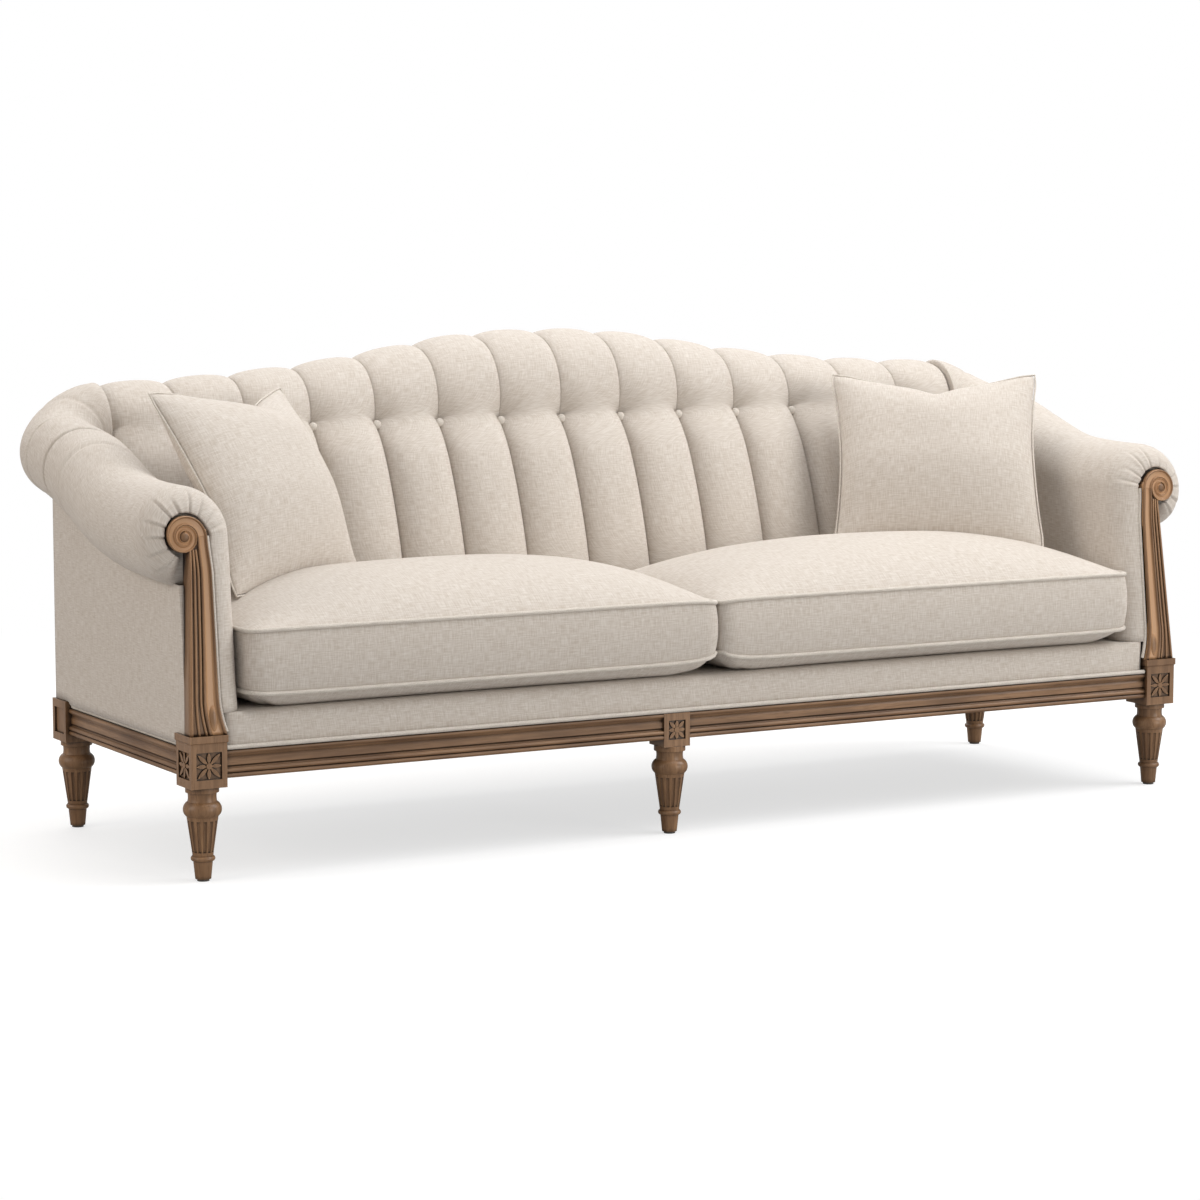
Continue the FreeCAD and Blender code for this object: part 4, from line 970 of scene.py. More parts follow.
    def section(self, share: float) -> tuple[Array, Array, Array, Array]:
        """Outline at a share of the arm's length, its outward normals, roll angles and freedom."""
        flat, angle, free = self.outline(mix(self.front_section, self.rear_y(), share))
        ahead = np.roll(flat, -1, axis=0) - np.roll(flat, 1, axis=0)
        normal = np.stack([-ahead[:, 1], ahead[:, 0]], axis=1)
        normal /= np.linalg.norm(normal, axis=1, keepdims=True)
        normal[flat[:, 0] <= self.plan.arm_x + TINY] = (-1.0, 0.0)
        return flat, normal, angle, free

    def front_room(self, flat: Array, angle: Array) -> tuple[Array, Array]:
        """Room at the arm's front between its outline and the facing.

        Args:
            flat: Points (x, z) of the outline.
            angle: Angle round the roll of each point, in degrees.

        Returns:
            The width of the rounded front, and how far it comes forward as a share of the puff.
        """
        plan = self.plan
        axis_x, axis_z, radius = plan.roll_at(self.front_section)
        beside = plan.facing_inner_x(flat[:, 1]) - self.welt_room - flat[:, 0]
        off = np.array([plan.scroll_x - axis_x, plan.scroll_z - axis_z])
        turn = np.radians(angle)
        toward = np.cos(turn) * off[0] + np.sin(turn) * off[1]
        beside_welt = smooth((angle - self.welt_angle) / 40.0)
        ring = plan.scroll_radius + mix(self.scroll_room, self.welt_room, beside_welt)
        around = radius - toward - np.sqrt(np.maximum(0.0, toward ** 2 - off @ off + ring ** 2))
        on_roll = angle < 360.0
        reach = np.where(on_roll, smooth((angle - self.puff_angle) / 30.0), 1.0)
        return np.where(on_roll, around, np.maximum(beside, 0.0)), reach

    def front_row(self, turn: float, tuck: int) -> Array:
        """One outline of the arm's rounded front.

        Args:
            turn: Angle of the rounding, 0 on the side of the roll and a quarter turn at the facing.
            tuck: Number of the row that goes in behind the facing, or 0.

        Returns:
            Points of the outline.
        """
        plan = self.plan
        flat, normal, angle, free = self.section(0.0)
        room, reach = self.front_room(flat, angle)
        behind, ahead = self.tucks[tuck]
        inset = room * (1.0 - math.cos(turn)) + behind
        flat_in = flat - normal * (inset * free)[:, None]
        front = plan.facing_back_y(flat_in[:, 1]) + plan.gap
        puff = self.puff * reach * free * math.sin(turn) * ahead
        depth = front + self.edge * (1.0 - math.sin(turn)) - puff
        points = np.stack([flat_in[:, 0], depth + plan.front_y, flat_in[:, 1]], axis=1)
        if tuck < 2:
            push = self.relief(points, angle, 0.0, turn) * free * reach
            points[:, 0] += normal[:, 0] * push * math.cos(turn)
            points[:, 2] += normal[:, 1] * push * math.cos(turn)
            points[:, 1] -= push * math.sin(turn)
        return points

    def arm_row(self, share: float, inset: float, step: Optional[float]) -> Array:
        """One outline of the right arm behind its rounded front.

        Args:
            share: Place along the arm, from 0 at its front to 1 at its rear.
            inset: How far the outline is drawn in.
            step: Distance on from the last plane, or None along the arm.

        Returns:
            Points of the outline.
        """
        plan = self.plan
        last = self.rear_y() - self.rear_round
        flat, normal, angle, free = self.section(share)
        flat_in = flat - normal * (inset * free)[:, None]
        start = plan.facing_back_y(flat[:, 1]) + plan.gap + self.edge
        depth = mix(start, last, share) if step is None else np.full(len(flat), last + step)
        points = np.stack([flat_in[:, 0], depth + plan.front_y, flat_in[:, 1]], axis=1)
        push = self.relief(points, angle, share, 0.0) * free
        points[:, 0] += normal[:, 0] * push
        points[:, 2] += normal[:, 1] * push
        return points

    def relief(self, points: Array, angle: Array, share: float, turn: float) -> Array:
        """Pleats at the front, seams over the roll and slight unevenness.

        Args:
            points: Points of an outline.
            angle: Angle round the roll of each point, in degrees.
            share: Place along the arm.
            turn: Angle of the rounded front edge.

        Returns:
            How far each point moves outward.
        """
        push = self.waves.at(points)
        chance = np.random.default_rng(self.pleat_seed)
        for place in self.pleats:
            reach = chance.uniform(0.55, 1.0)
            width = chance.uniform(1.9, 3.0)
            skew = chance.uniform(-7.0, 7.0) * (1.0 - turn / 1.6)
            length = chance.uniform(0.25, 0.75)
            front = smooth((turn - length) / 0.7)
            off = angle - place - skew
            fold = bell(off, width) - 0.4 * bell(off - 2.0 * width, 1.6 * width)
            push = push - self.pleat_depth * reach * front * fold
        over = smooth((angle - self.held_angle) / 40.0) * smooth((180.0 - angle) / 35.0)
        for place, depth, width in self.seams:
            push = push - depth * over * bell(share - place, width)
        return push

    def gusset(self) -> Array:
        """Rings of the stuffing that fills the inside of the right corner."""
        plan = self.plan
        top = plan.roll_at(plan.corner_y)[1] + self.gusset_rise
        turn = circle(32)
        x = plan.arm_x + self.gusset_place[0]
        y = plan.front_y + plan.corner_y + self.gusset_place[1]
        levels = [(self.gusset_rings[0][0], self.gusset_low)]
        levels += [(reach, top - drop) for reach, drop in self.gusset_rings]
        return np.array([
            np.stack([x + reach * np.cos(turn), y + reach * np.sin(turn), np.full(len(turn), z)], axis=1)
            for reach, z in levels])

    def corner_points(self) -> Array:
        """Round outlines of the roll that bends from the right arm to the back."""
        plan = self.plan
        arm_x, arm_z, arm_radius = plan.roll_at(plan.corner_y)
        back_y, back_z, back_radius = plan.back_roll_at(np.array(plan.arm_x))
        reach_x = arm_x - plan.arm_x
        reach_y = back_y - plan.corner_y
        seam = self.corner_round
        crease_place, crease_depth, crease_width = self.crease
        rows = []
        turn = circle(72)
        ends = [(4.0 * seam * (1.0 - math.cos(angle)), seam * (1.0 - math.sin(angle)))
                for angle in np.linspace(0.0, QUARTER, 6)]
        shares = ends + [(share, 0.0) for share in np.linspace(*self.corner_middle, 24)]
        shares += [(1.0 - share, inset) for share, inset in ends[::-1]]
        for share, inset in shares:
            bend = share * QUARTER
            ease = smooth(share)
            radius = mix(arm_radius, back_radius, ease) - inset
            centre = np.array([plan.arm_x + reach_x * math.cos(bend),
                               plan.front_y + plan.corner_y + reach_y * math.sin(bend),
                               mix(arm_z, back_z, ease)])
            across = np.array([reach_x * math.cos(bend), reach_y * math.sin(bend), 0.0])
            normal = np.array([-reach_x * math.sin(bend), reach_y * math.cos(bend), 0.0])
            normal /= np.linalg.norm(normal)
            side = np.array([normal[1], -normal[0], 0.0])
            if np.dot(side, across) < 0.0:
                side = -side
            ring = radius - crease_depth * bell(share - crease_place, crease_width)
            rows.append(centre + np.outer(ring * np.cos(turn), side)
                        + np.outer(ring * np.sin(turn), np.array([0.0, 0.0, 1.0])))
        points = np.array(rows)
        lift = self.corner_waves.at(points)
        middle = points.mean(axis=1, keepdims=True)
        away = points - middle
        away /= np.linalg.norm(away, axis=2, keepdims=True)
        return points + away * lift[:, :, None]


@dataclass
class SeatCushion:
    """Loose seat cushion: crowned top, boxing between two welts, and a cover blown up by cloth."""
    plan: Plan
    side: Side
    body: Body
    inner_x: float = 0.0008
    outer_x: float = 0.9785
    front: float = -0.034
    back: float = 0.4435
    low: float = 0.331
    high: float = 0.447
    crown: float = 0.080
    crown_powers: Sequence[float] = (2.9, 2.2)
    crown_round: float = 0.72
    belly: float = 0.0285
    belly_powers: Sequence[int] = (24, 12)
    columns: int = 76
    rows: int = 38
    boxing_rows: int = 9
    corner: float = 0.030
    ear: float = 0.004
    inner_ear: float = 0.014
    ear_powers: Sequence[int] = (18, 14)
    waves: Unevenness = Unevenness(0.0016, 0.22, 31)
    boxing_bulge: float = 0.007
    arm_press: float = 0.002
    welt: float = 0.0042

    def build(self) -> None:
        """Make the cover, fill it and sew on the welts."""
        word = self.side.word
        cover, seams = self.cover()
        inflate(cover, pressure=2.6, cap=0.012, held=np.concatenate(seams))
        self.settle(cover)
        paths = [(points_of(cover)[seam], True) for seam in seams]
        subdivided(cover)
        finished(cover, self.body, ["seat_cushion_" + word, "seat_core_" + word])
        cords = CordTree.cords("cushion_welts_" + word, paths, self.welt)
        finished(cords, self.body)

    def places(self, gu: Array, gv: Array) -> tuple[Array, Array]:
        """Places in plan of a grid, with the cushion's corners rounded off.

        Args:
            gu: Shares across the cushion, from -1 to 1.
            gv: Shares from its front to its back, from -1 to 1.

        Returns:
            The x and the y of each point.
        """
        half_x = (self.outer_x - self.inner_x) / 2.0
        half_y = (self.back - self.front) / 2.0
        x, y = gu * half_x, gv * half_y
        over_x = np.maximum(0.0, np.abs(x) - (half_x - self.corner))
        over_y = np.maximum(0.0, np.abs(y) - (half_y - self.corner))
        far = np.hypot(over_x, over_y)
        pull = np.where(far > 0.0, np.maximum(over_x, over_y) / np.maximum(far, TINY), 1.0)
        x = np.sign(x) * (np.abs(x) - over_x * (1.0 - pull))
        y = np.sign(y) * (np.abs(y) - over_y * (1.0 - pull))
        return x + (self.inner_x + self.outer_x) / 2.0, y + (self.front + self.back) / 2.0

    def sheets(self, gu: Array, gv: Array) -> tuple[Array, Array]:
        """The crowned top and the underside.

        Args:
            gu: Shares across the cushion, from -1 to 1.
            gv: Shares from its front to its back, from -1 to 1.

        Returns:
            Points of the top and points of the underside.
        """
        x, y = self.places(gu, gv)
        far_x, far_y = np.abs(gu), np.abs(gv)
        dome = (1.0 - far_x ** self.crown_powers[0]) ** self.crown_round
        dome *= (1.0 - far_y ** self.crown_powers[1]) ** self.crown_round
        sink = np.sqrt((1.0 - far_x ** self.belly_powers[0]) * (1.0 - far_y ** self.belly_powers[1]))
        ears = np.where(gu < 0.0, self.inner_ear, self.ear)
        top = self.high - 0.4 * ears * far_x ** self.ear_powers[0] + self.crown * dome
        top += self.waves.at(np.stack([x, y, 0.0 * x], axis=-1)) * dome
        low = self.low - self.belly * sink + ears * far_x ** self.ear_powers[1]
        return np.stack([x, y, top], axis=-1).reshape(-1, 3), np.stack([x, y, low], axis=-1).reshape(-1, 3)

    def cover(self) -> tuple[bpy.types.Object, list[Array]]:
        """The sewn cover before it is filled, and the points of its two welts."""
        gu, gv = np.meshgrid(np.linspace(-1.0, 1.0, self.columns + 1), np.linspace(-1.0, 1.0, self.rows + 1))
        top, low = self.sheets(gu, gv)
        number = np.arange(gu.size).reshape(gu.shape)
        rim = rim_of(number)
        levels = np.linspace(0.0, 1.0, self.boxing_rows + 1)[1:-1]
        out = np.stack([gu.ravel()[rim] ** 15, gv.ravel()[rim] ** 15, 0.0 * rim], axis=1)
        out *= self.boxing_bulge / np.maximum(np.linalg.norm(out, axis=1, keepdims=True), TINY)
        wall = [mix(top[rim], low[rim], level) + out * math.sin(math.pi * level) for level in levels]
        points = np.vstack([top, low] + wall)
        points[:, 1] += self.plan.front_y

        count, length = gu.size, len(rim)
        quads = corners(number).reshape(-1, 4)
        turned = quads[:, ::-1]
        walls = [2 * count + k * length + np.arange(length) for k in range(len(levels))]
        rings = [rim] + walls + [rim + count]
        wrap = np.arange(length + 1) % length
        seam = top[rim][wrap]
        run = np.concatenate([[0.0], np.cumsum(np.linalg.norm(np.diff(seam, axis=0), axis=1))])
        drop = (self.high - self.low) / (len(rings) - 1)
        run, down = np.meshgrid(run, -drop * np.arange(len(rings)))
        order = [1, 0, 3, 2]
        boxing = corners(np.array(rings)[:, wrap])[:, :, order].reshape(-1, 4)
        boxing_uv = np.stack([corners(run), corners(down)], axis=-1)[:, :, order]
        faces = np.vstack([quads, turned + count, boxing]).tolist()
        uv = np.vstack([top[quads.ravel(), :2], top[turned.ravel(), :2], boxing_uv.reshape(-1, 2)])
        name = "seat_cushion_cover_" + self.side.word
        mesh = woven(name, mirrored(points, self.side), faces, uv)
        return new_object(name, mesh, LINEN.material()), [rings[0], rings[-1]]

    def settle(self, cover: bpy.types.Object) -> None:
        """Keep the filled cover clear of its neighbours and flat on the deck."""
        points = points_of(cover)
        x = points[:, 0] * self.side.value
        points[:, 0] = np.clip(x, self.inner_x, self.outer_x + self.arm_press) * self.side.value
        points[:, 2] = np.maximum(points[:, 2], self.plan.base_z + self.plan.block_gap)
        set_points(cover, points)


@dataclass
class ThrowPillow:
    """Loose knife-edge pillow that leans in a corner, with a chopped top and a welt."""
    plan: Plan
    side: Side
    body: Body
    turn: float
    lean: float
    chop: float
    chop_place: float
    size: float = 0.440
    thickness: float = 0.140
    swell_power: float = 2.2
    swell_round: float = 0.62
    draw: float = 0.019
    corner_start: float = 1.84
    corner_cut: float = 0.035
    cells: int = 44
    chop_width: float = 0.032
    chop_sharp: float = 0.18
    belly: float = 0.010
    belly_reach: float = 0.075
    welt: float = 0.0020
    height: float = 0.93
    sink: float = 0.008
    tuck_back: float = 0.034
    tuck_down: float = 0.012

    def build(self) -> None:
        """Make the cover flat, fill it, chop it and set it in its corner."""
        word = self.side.word
        cover, seam = self.cover()
        inflate(cover, pressure=2.6, cap=0.016, held=seam, frames=22, stiffness=9.0)
        points = self.chopped(points_of(cover))
        low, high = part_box("pillow_" + word)
        centre = np.array((low + high) / 2.0)
        matrix = Euler((-self.lean, 0.0, self.turn)).to_matrix()
        points = points * np.array([1.0, 1.0, self.height])
        points = points @ np.array(matrix).T + centre - np.array([0.0, 0.0, self.sink])
        set_points(cover, points)
        path = points[seam]
        subdivided(cover)
        finished(cover, self.body, ["pillow_" + word, "pillow_insert_" + word])
        cord = CordTree.cords("pillow_welt_" + word, [(path, True)], self.welt)
        finished(cord, self.body)

    def cover(self) -> tuple[bpy.types.Object, Array]:
        """The sewn cover before it is filled, facing -Y at the origin, and the points of its seam."""
        line = np.linspace(-1.0, 1.0, self.cells + 1)
        u, w = np.meshgrid(line, line)
        half = self.size / 2.0
        x = u * (half - self.draw * (1.0 - w ** 2) * u ** 2)
        z = w * (half - self.draw * (1.0 - u ** 2) * w ** 2)
        far = self.corner_cut * np.maximum(0.0, np.abs(u) + np.abs(w) - self.corner_start)
        x -= np.sign(u) * far
        z -= np.sign(w) * far
        full = (1.0 - np.abs(u) ** self.swell_power) * (1.0 - np.abs(w) ** self.swell_power)
        depth = self.thickness / 2.0 * full ** self.swell_round
        front = np.stack([x, -depth, z], axis=-1).reshape(-1, 3)
        number = np.arange(u.size).reshape(u.shape)
        rim = rim_of(number)
        rear_number = np.full(u.size, -1)
        inside = np.setdiff1d(number.ravel(), rim)
        rear_number[rim] = rim
        rear_number[inside] = u.size + np.arange(len(inside))
        rear = front[inside] * np.array([1.0, -1.0, 1.0])
        points = np.vstack([front, rear])
        quads = corners(number).reshape(-1, 4)
        turned = quads[:, ::-1]
        faces = np.stack([quads, rear_number[turned]], axis=1).reshape(-1, 4).tolist()
        flat = front[:, [0, 2]]
        uv = np.stack([flat[quads], flat[turned] + np.array([1.0, 0.0])], axis=1)
        name = "throw_pillow_" + self.side.word
        return new_object(name, woven(name, points, faces, uv), LINEN.material()), rim

    def chopped(self, points: Array) -> Array:
        """Points with the top edge pressed down in the middle, which leaves two ears."""
        moved = points.copy()
        half = self.size / 2.0
        off = np.abs(points[:, 0] - self.chop_place)
        reach = np.clip(1.0 - off / (half * 1.02), 0.0, 1.0)
        down = np.clip((points[:, 2] + half * 0.35) / (half * 1.35), 0.0, 1.0)
        press = mix(reach ** 1.3, bell(off, self.chop_width), self.chop_sharp)
        moved[:, 2] -= self.chop * press * down ** 2.4
        belly = bell(off, self.belly_reach) * bell(points[:, 2] - half * 0.42, self.belly_reach)
        moved[:, 1] += np.sign(points[:, 1]) * self.belly * belly
        seated = smooth((-points[:, 2] / half - 0.1) / 0.9)
        moved[:, 1] += self.tuck_back * seated
        moved[:, 2] -= self.tuck_down * seated
        return moved


@dataclass
class SeatPlatform:
    """Padded deck under the cushions and the border in front of it."""
    plan: Plan
    half_x: float = 1.0154
    border_half: float = 1.0226
    border_back: float = 0.0297
    border_depth: float = 0.0215
    border_edge: float = 0.021
    border_end_edge: float = 0.004
    border_swell: float = 0.0022
    deck_front: float = 0.030
    deck_back: float = 0.0583
    deck_depth: float = 0.012
    deck_puff: float = 0.0012
    stations: int = 200
    waves: Unevenness = Unevenness(0.0007, 0.12, 41)

    def build(self) -> None:
        """Make the border and the deck."""
        border = linen_cover("border_pad", self.border_points())
        finished(border, Body.FRAME, ["front_border"])
        deck = linen_cover("deck_pad", self.deck_points())
        finished(deck, Body.FRAME, ["seat_deck"])

    def border_points(self) -> Array:
        """Rounded outlines of the border along the front."""
        plan = self.plan
        back = plan.rail_front + self.border_back
        face = back - self.border_depth
        low = plan.rail_top + plan.gap
        turn = np.linspace(0.0, QUARTER, 14)
        level = np.linspace(0.0, 1.0, 12)
        rows = []
        for x in np.linspace(-1.0, 1.0, self.stations):
            end = 1.0 - 0.9 * np.abs(x) ** 400
            beside_arm = smooth((abs(x) * self.border_half - plan.arm_x + 0.006) / 0.02)
            edge = mix(self.border_edge, self.border_end_edge, beside_arm)
            front_y = face - self.border_swell * np.sin(level * math.pi) * end
            front_z = low + level * (plan.deck_z - edge - low)
            round_y = face + edge * (1.0 - np.cos(turn))[1:]
            round_z = plan.deck_z - edge + edge * np.sin(turn)[1:]
            y = np.concatenate([front_y, round_y, [back, back]])
            z = np.concatenate([front_z, round_z, [plan.deck_z, low]])
            y = back + (y - back) * mix(0.75, 1.0, end)
            rows.append(np.stack([np.full(len(y), x * self.border_half), y + plan.front_y, z], axis=1))
        points = np.array(rows)
        points[:, :, 1] += self.waves.at(points)
        return points

    def deck_points(self) -> Array:
        """Outlines of the flat padded deck, with soft edges."""
        plan = self.plan
        front = plan.rail_front + self.deck_front
        back = plan.rail_rear - self.deck_back
        level = np.linspace(0.0, 1.0, 34)
        rows = []
        for x in np.linspace(-1.0, 1.0, self.stations):
            y = mix(front, back, level)
            full = np.minimum(1.0, np.minimum(level, 1.0 - level) * 12.0)
            z = plan.deck_z - self.deck_puff + self.deck_puff * full
            y = np.concatenate([y, [back, front]])
            z = np.concatenate([z, [plan.deck_z - self.deck_depth] * 2])
            rows.append(np.stack([np.full(len(y), x * self.half_x), y + plan.front_y, z], axis=1))
        return np.array(rows)


@dataclass
class OutsideCovers:
    """Flat linen on the outside of the arms and the back."""
    plan: Plan
    thickness: float = 0.004
    swell: float = 0.0025
    low: float = 0.2453
    front: float = 0.02
    top_lap: float = 0.004
    lip_step: float = 0.0005
    lip_lead: float = 0.0035
    lip_thickness: float = 0.0004

    def build(self) -> None:
        """Make the three outside panels."""
        for side in Side:
            panel = linen_cover("outside_arm_cover_" + side.word, mirrored(self.arm_points(), side))
            finished(panel, Body.FRAME, ["outside_arm_" + side.word])
        back = linen_cover("outside_back_cover", self.back_points())
        finished(back, Body.FRAME, ["outside_back"])

    def arm_top(self, y: float) -> float:
        """Top of the outside arm, just inside the roll, at a distance behind the front legs."""
        axis_x, axis_z, radius = self.plan.roll_at(min(y, self.plan.corner_y))
        lean = math.sqrt(max(0.0, radius ** 2 - (self.plan.rail_outer_x - axis_x) ** 2))
        return axis_z - lean + self.top_lap

    def arm_points(self) -> Array:
        """Upright outlines of the right outside arm, from the facing to the rear corner."""
        plan = self.plan
        last = plan.rail_rear
        level = np.linspace(0.0, 1.0, 22)
        rows = self.lip_rows(level)
        for share in np.linspace(0.0, 1.0, 60):
            rough_y = mix(self.front, last, share)
            low = self.low
            if rough_y < plan.block_half:
                low = plan.block_top + plan.block_gap
            if rough_y > plan.leg_depth - plan.block_half:
                low = plan.rear_block_top + plan.block_gap
            z = mix(low, self.arm_top(rough_y), level)
            y = mix(plan.facing_back_y(z) + plan.facing_gap, last, share)
            rise = np.sin(level * math.pi) * min(1.0, 12.0 * share, 12.0 * (1.0 - share))
            x = plan.rail_outer_x + self.thickness - self.swell + self.swell * rise
            inner = np.full(2, plan.rail_outer_x + plan.rail_gap)
            rows.append(np.stack([
                np.concatenate([x, inner]),
                np.concatenate([y, [y[-1], y[0]]]) + plan.front_y,
                np.concatenate([z, [z[-1], z[0]]]),
            ], axis=1))
        return np.array(rows)

    def lip_rows(self, level: Array) -> list:
        """Outlines of the panel's front lip, which laps round to the tapered facing."""
        plan = self.plan
        z = mix(plan.block_top + plan.block_gap, self.arm_top(self.front), level)
        side_x = plan.rail_outer_x + self.thickness - self.swell
        edge_x = np.minimum(plan.facing_outer_x(z) + plan.facing_gap, side_x - self.lip_step)
        lead = self.lip_lead * smooth((side_x - self.lip_step - edge_x) / 0.003)
        rows = []
        for x in (edge_x, np.full(len(z), side_x)):
            y = plan.facing_back_y(z) - lead
            back_y = plan.facing_back_y(z[[-1, 0]]) - 0.3 * lead[[-1, 0]]
            rows.append(np.stack([
                np.concatenate([x, x[[-1, 0]] - self.lip_thickness]),
                np.concatenate([y, back_y]) + plan.front_y,
                np.concatenate([z, z[[-1, 0]]]),
            ], axis=1))
        return rows

    def back_points(self) -> Array:
        """Upright outlines of the outside back, from end to end."""
        plan = self.plan
        level = np.linspace(0.0, 1.0, 20)
        corner_low = plan.ridge(plan.corner_y) - 2.0 * plan.roll_rear
        rows = []
        for x in np.linspace(-plan.rail_outer_x, plan.rail_outer_x, 90):
            reach = np.clip((abs(x) - plan.arm_x) / (plan.rail_outer_x - plan.arm_x), 0.0, 1.0)
            top = plan.outside_back_top if reach <= 0.0 else mix(plan.roll_bottom, corner_low, reach)
            on_block = abs(x) > plan.corner_x - plan.block_half
            low = plan.rear_block_top + plan.block_gap if on_block else self.low
            z = mix(low, top, level)
            edge = min(1.0, 14.0 * (1.0 - abs(x) / plan.rail_outer_x))
            y = plan.rail_rear + self.thickness - self.swell + self.swell * np.sin(level * math.pi) * edge
            rows.append(np.stack([
                np.full(len(level) + 2, x),
                np.concatenate([y, [plan.rail_rear + plan.rail_gap] * 2]) + plan.front_y,
                np.concatenate([z, [z[-1], z[0]]]),
            ], axis=1))
        return np.array(rows)


@dataclass
class Trim:
    """Welts along the show rails and beside the facings."""
    plan: Plan
    radius: float = 0.0042
    front_sink: float = 0.0018
    side_sink: float = 0.005
    rear_end: float = 0.0352
    spacing: float = 0.02
    facing_radius: float = 0.0034
    facing_lead: float = 0.019
    facing_ends: Sequence[float] = (0.004, 0.002)

    def build(self) -> None:
        """Lay the rail welts and the facing welts."""
        plan = self.plan
        z = plan.rail_top + self.radius
        front_y = plan.front_y + plan.rail_front + self.front_sink
        span = plan.corner_x - plan.block_half
        side_x = plan.rail_outer_x - self.side_sink - self.radius
        side_front = plan.front_y + plan.block_half
        side_back = plan.front_y + plan.leg_depth - self.rear_end
        rear_y = plan.front_y + plan.rail_rear - self.side_sink - self.radius
        paths = [[(-span, y, z), (span, y, z)] for y in (front_y, rear_y)]
        for side in Side:
            x = side_x * side.value
            paths.append([(x, side_front, z), (x, side_back, z)])
        welts = CordTree.cords("rail_welts", [(self.fine(path), False) for path in paths], self.radius)
        finished(welts, Body.FRAME, ["rail_welt"])
        paths = [(mirrored(self.facing_line(), side), False) for side in Side]
        edges = CordTree.cords("facing_welt_cords", paths, self.facing_radius)
        finished(edges, Body.FRAME, ["facing_welts"])

    def fine(self, path: Sequence[Triple]) -> Array:
        """A straight path with points close together."""
        first, last = np.array(path[0]), np.array(path[1])
        count = max(3, int(np.linalg.norm(last - first) / self.spacing))
        return mix(first, last, np.linspace(0.0, 1.0, count)[:, None])

    def facing_line(self) -> Array:
        """The line beside the inner edge of the right facing, from its foot up to the scroll."""
        plan = self.plan
        z = np.linspace(plan.block_top + self.facing_ends[0], plan.scroll_z - self.facing_ends[1], 40)
        x = plan.facing_inner_x(z) - self.facing_radius - plan.gap
        y = plan.front_y + plan.facing_back_y(z) - self.facing_lead
        return np.stack([x, y, z], axis=1)


# Show wood and hidden frame

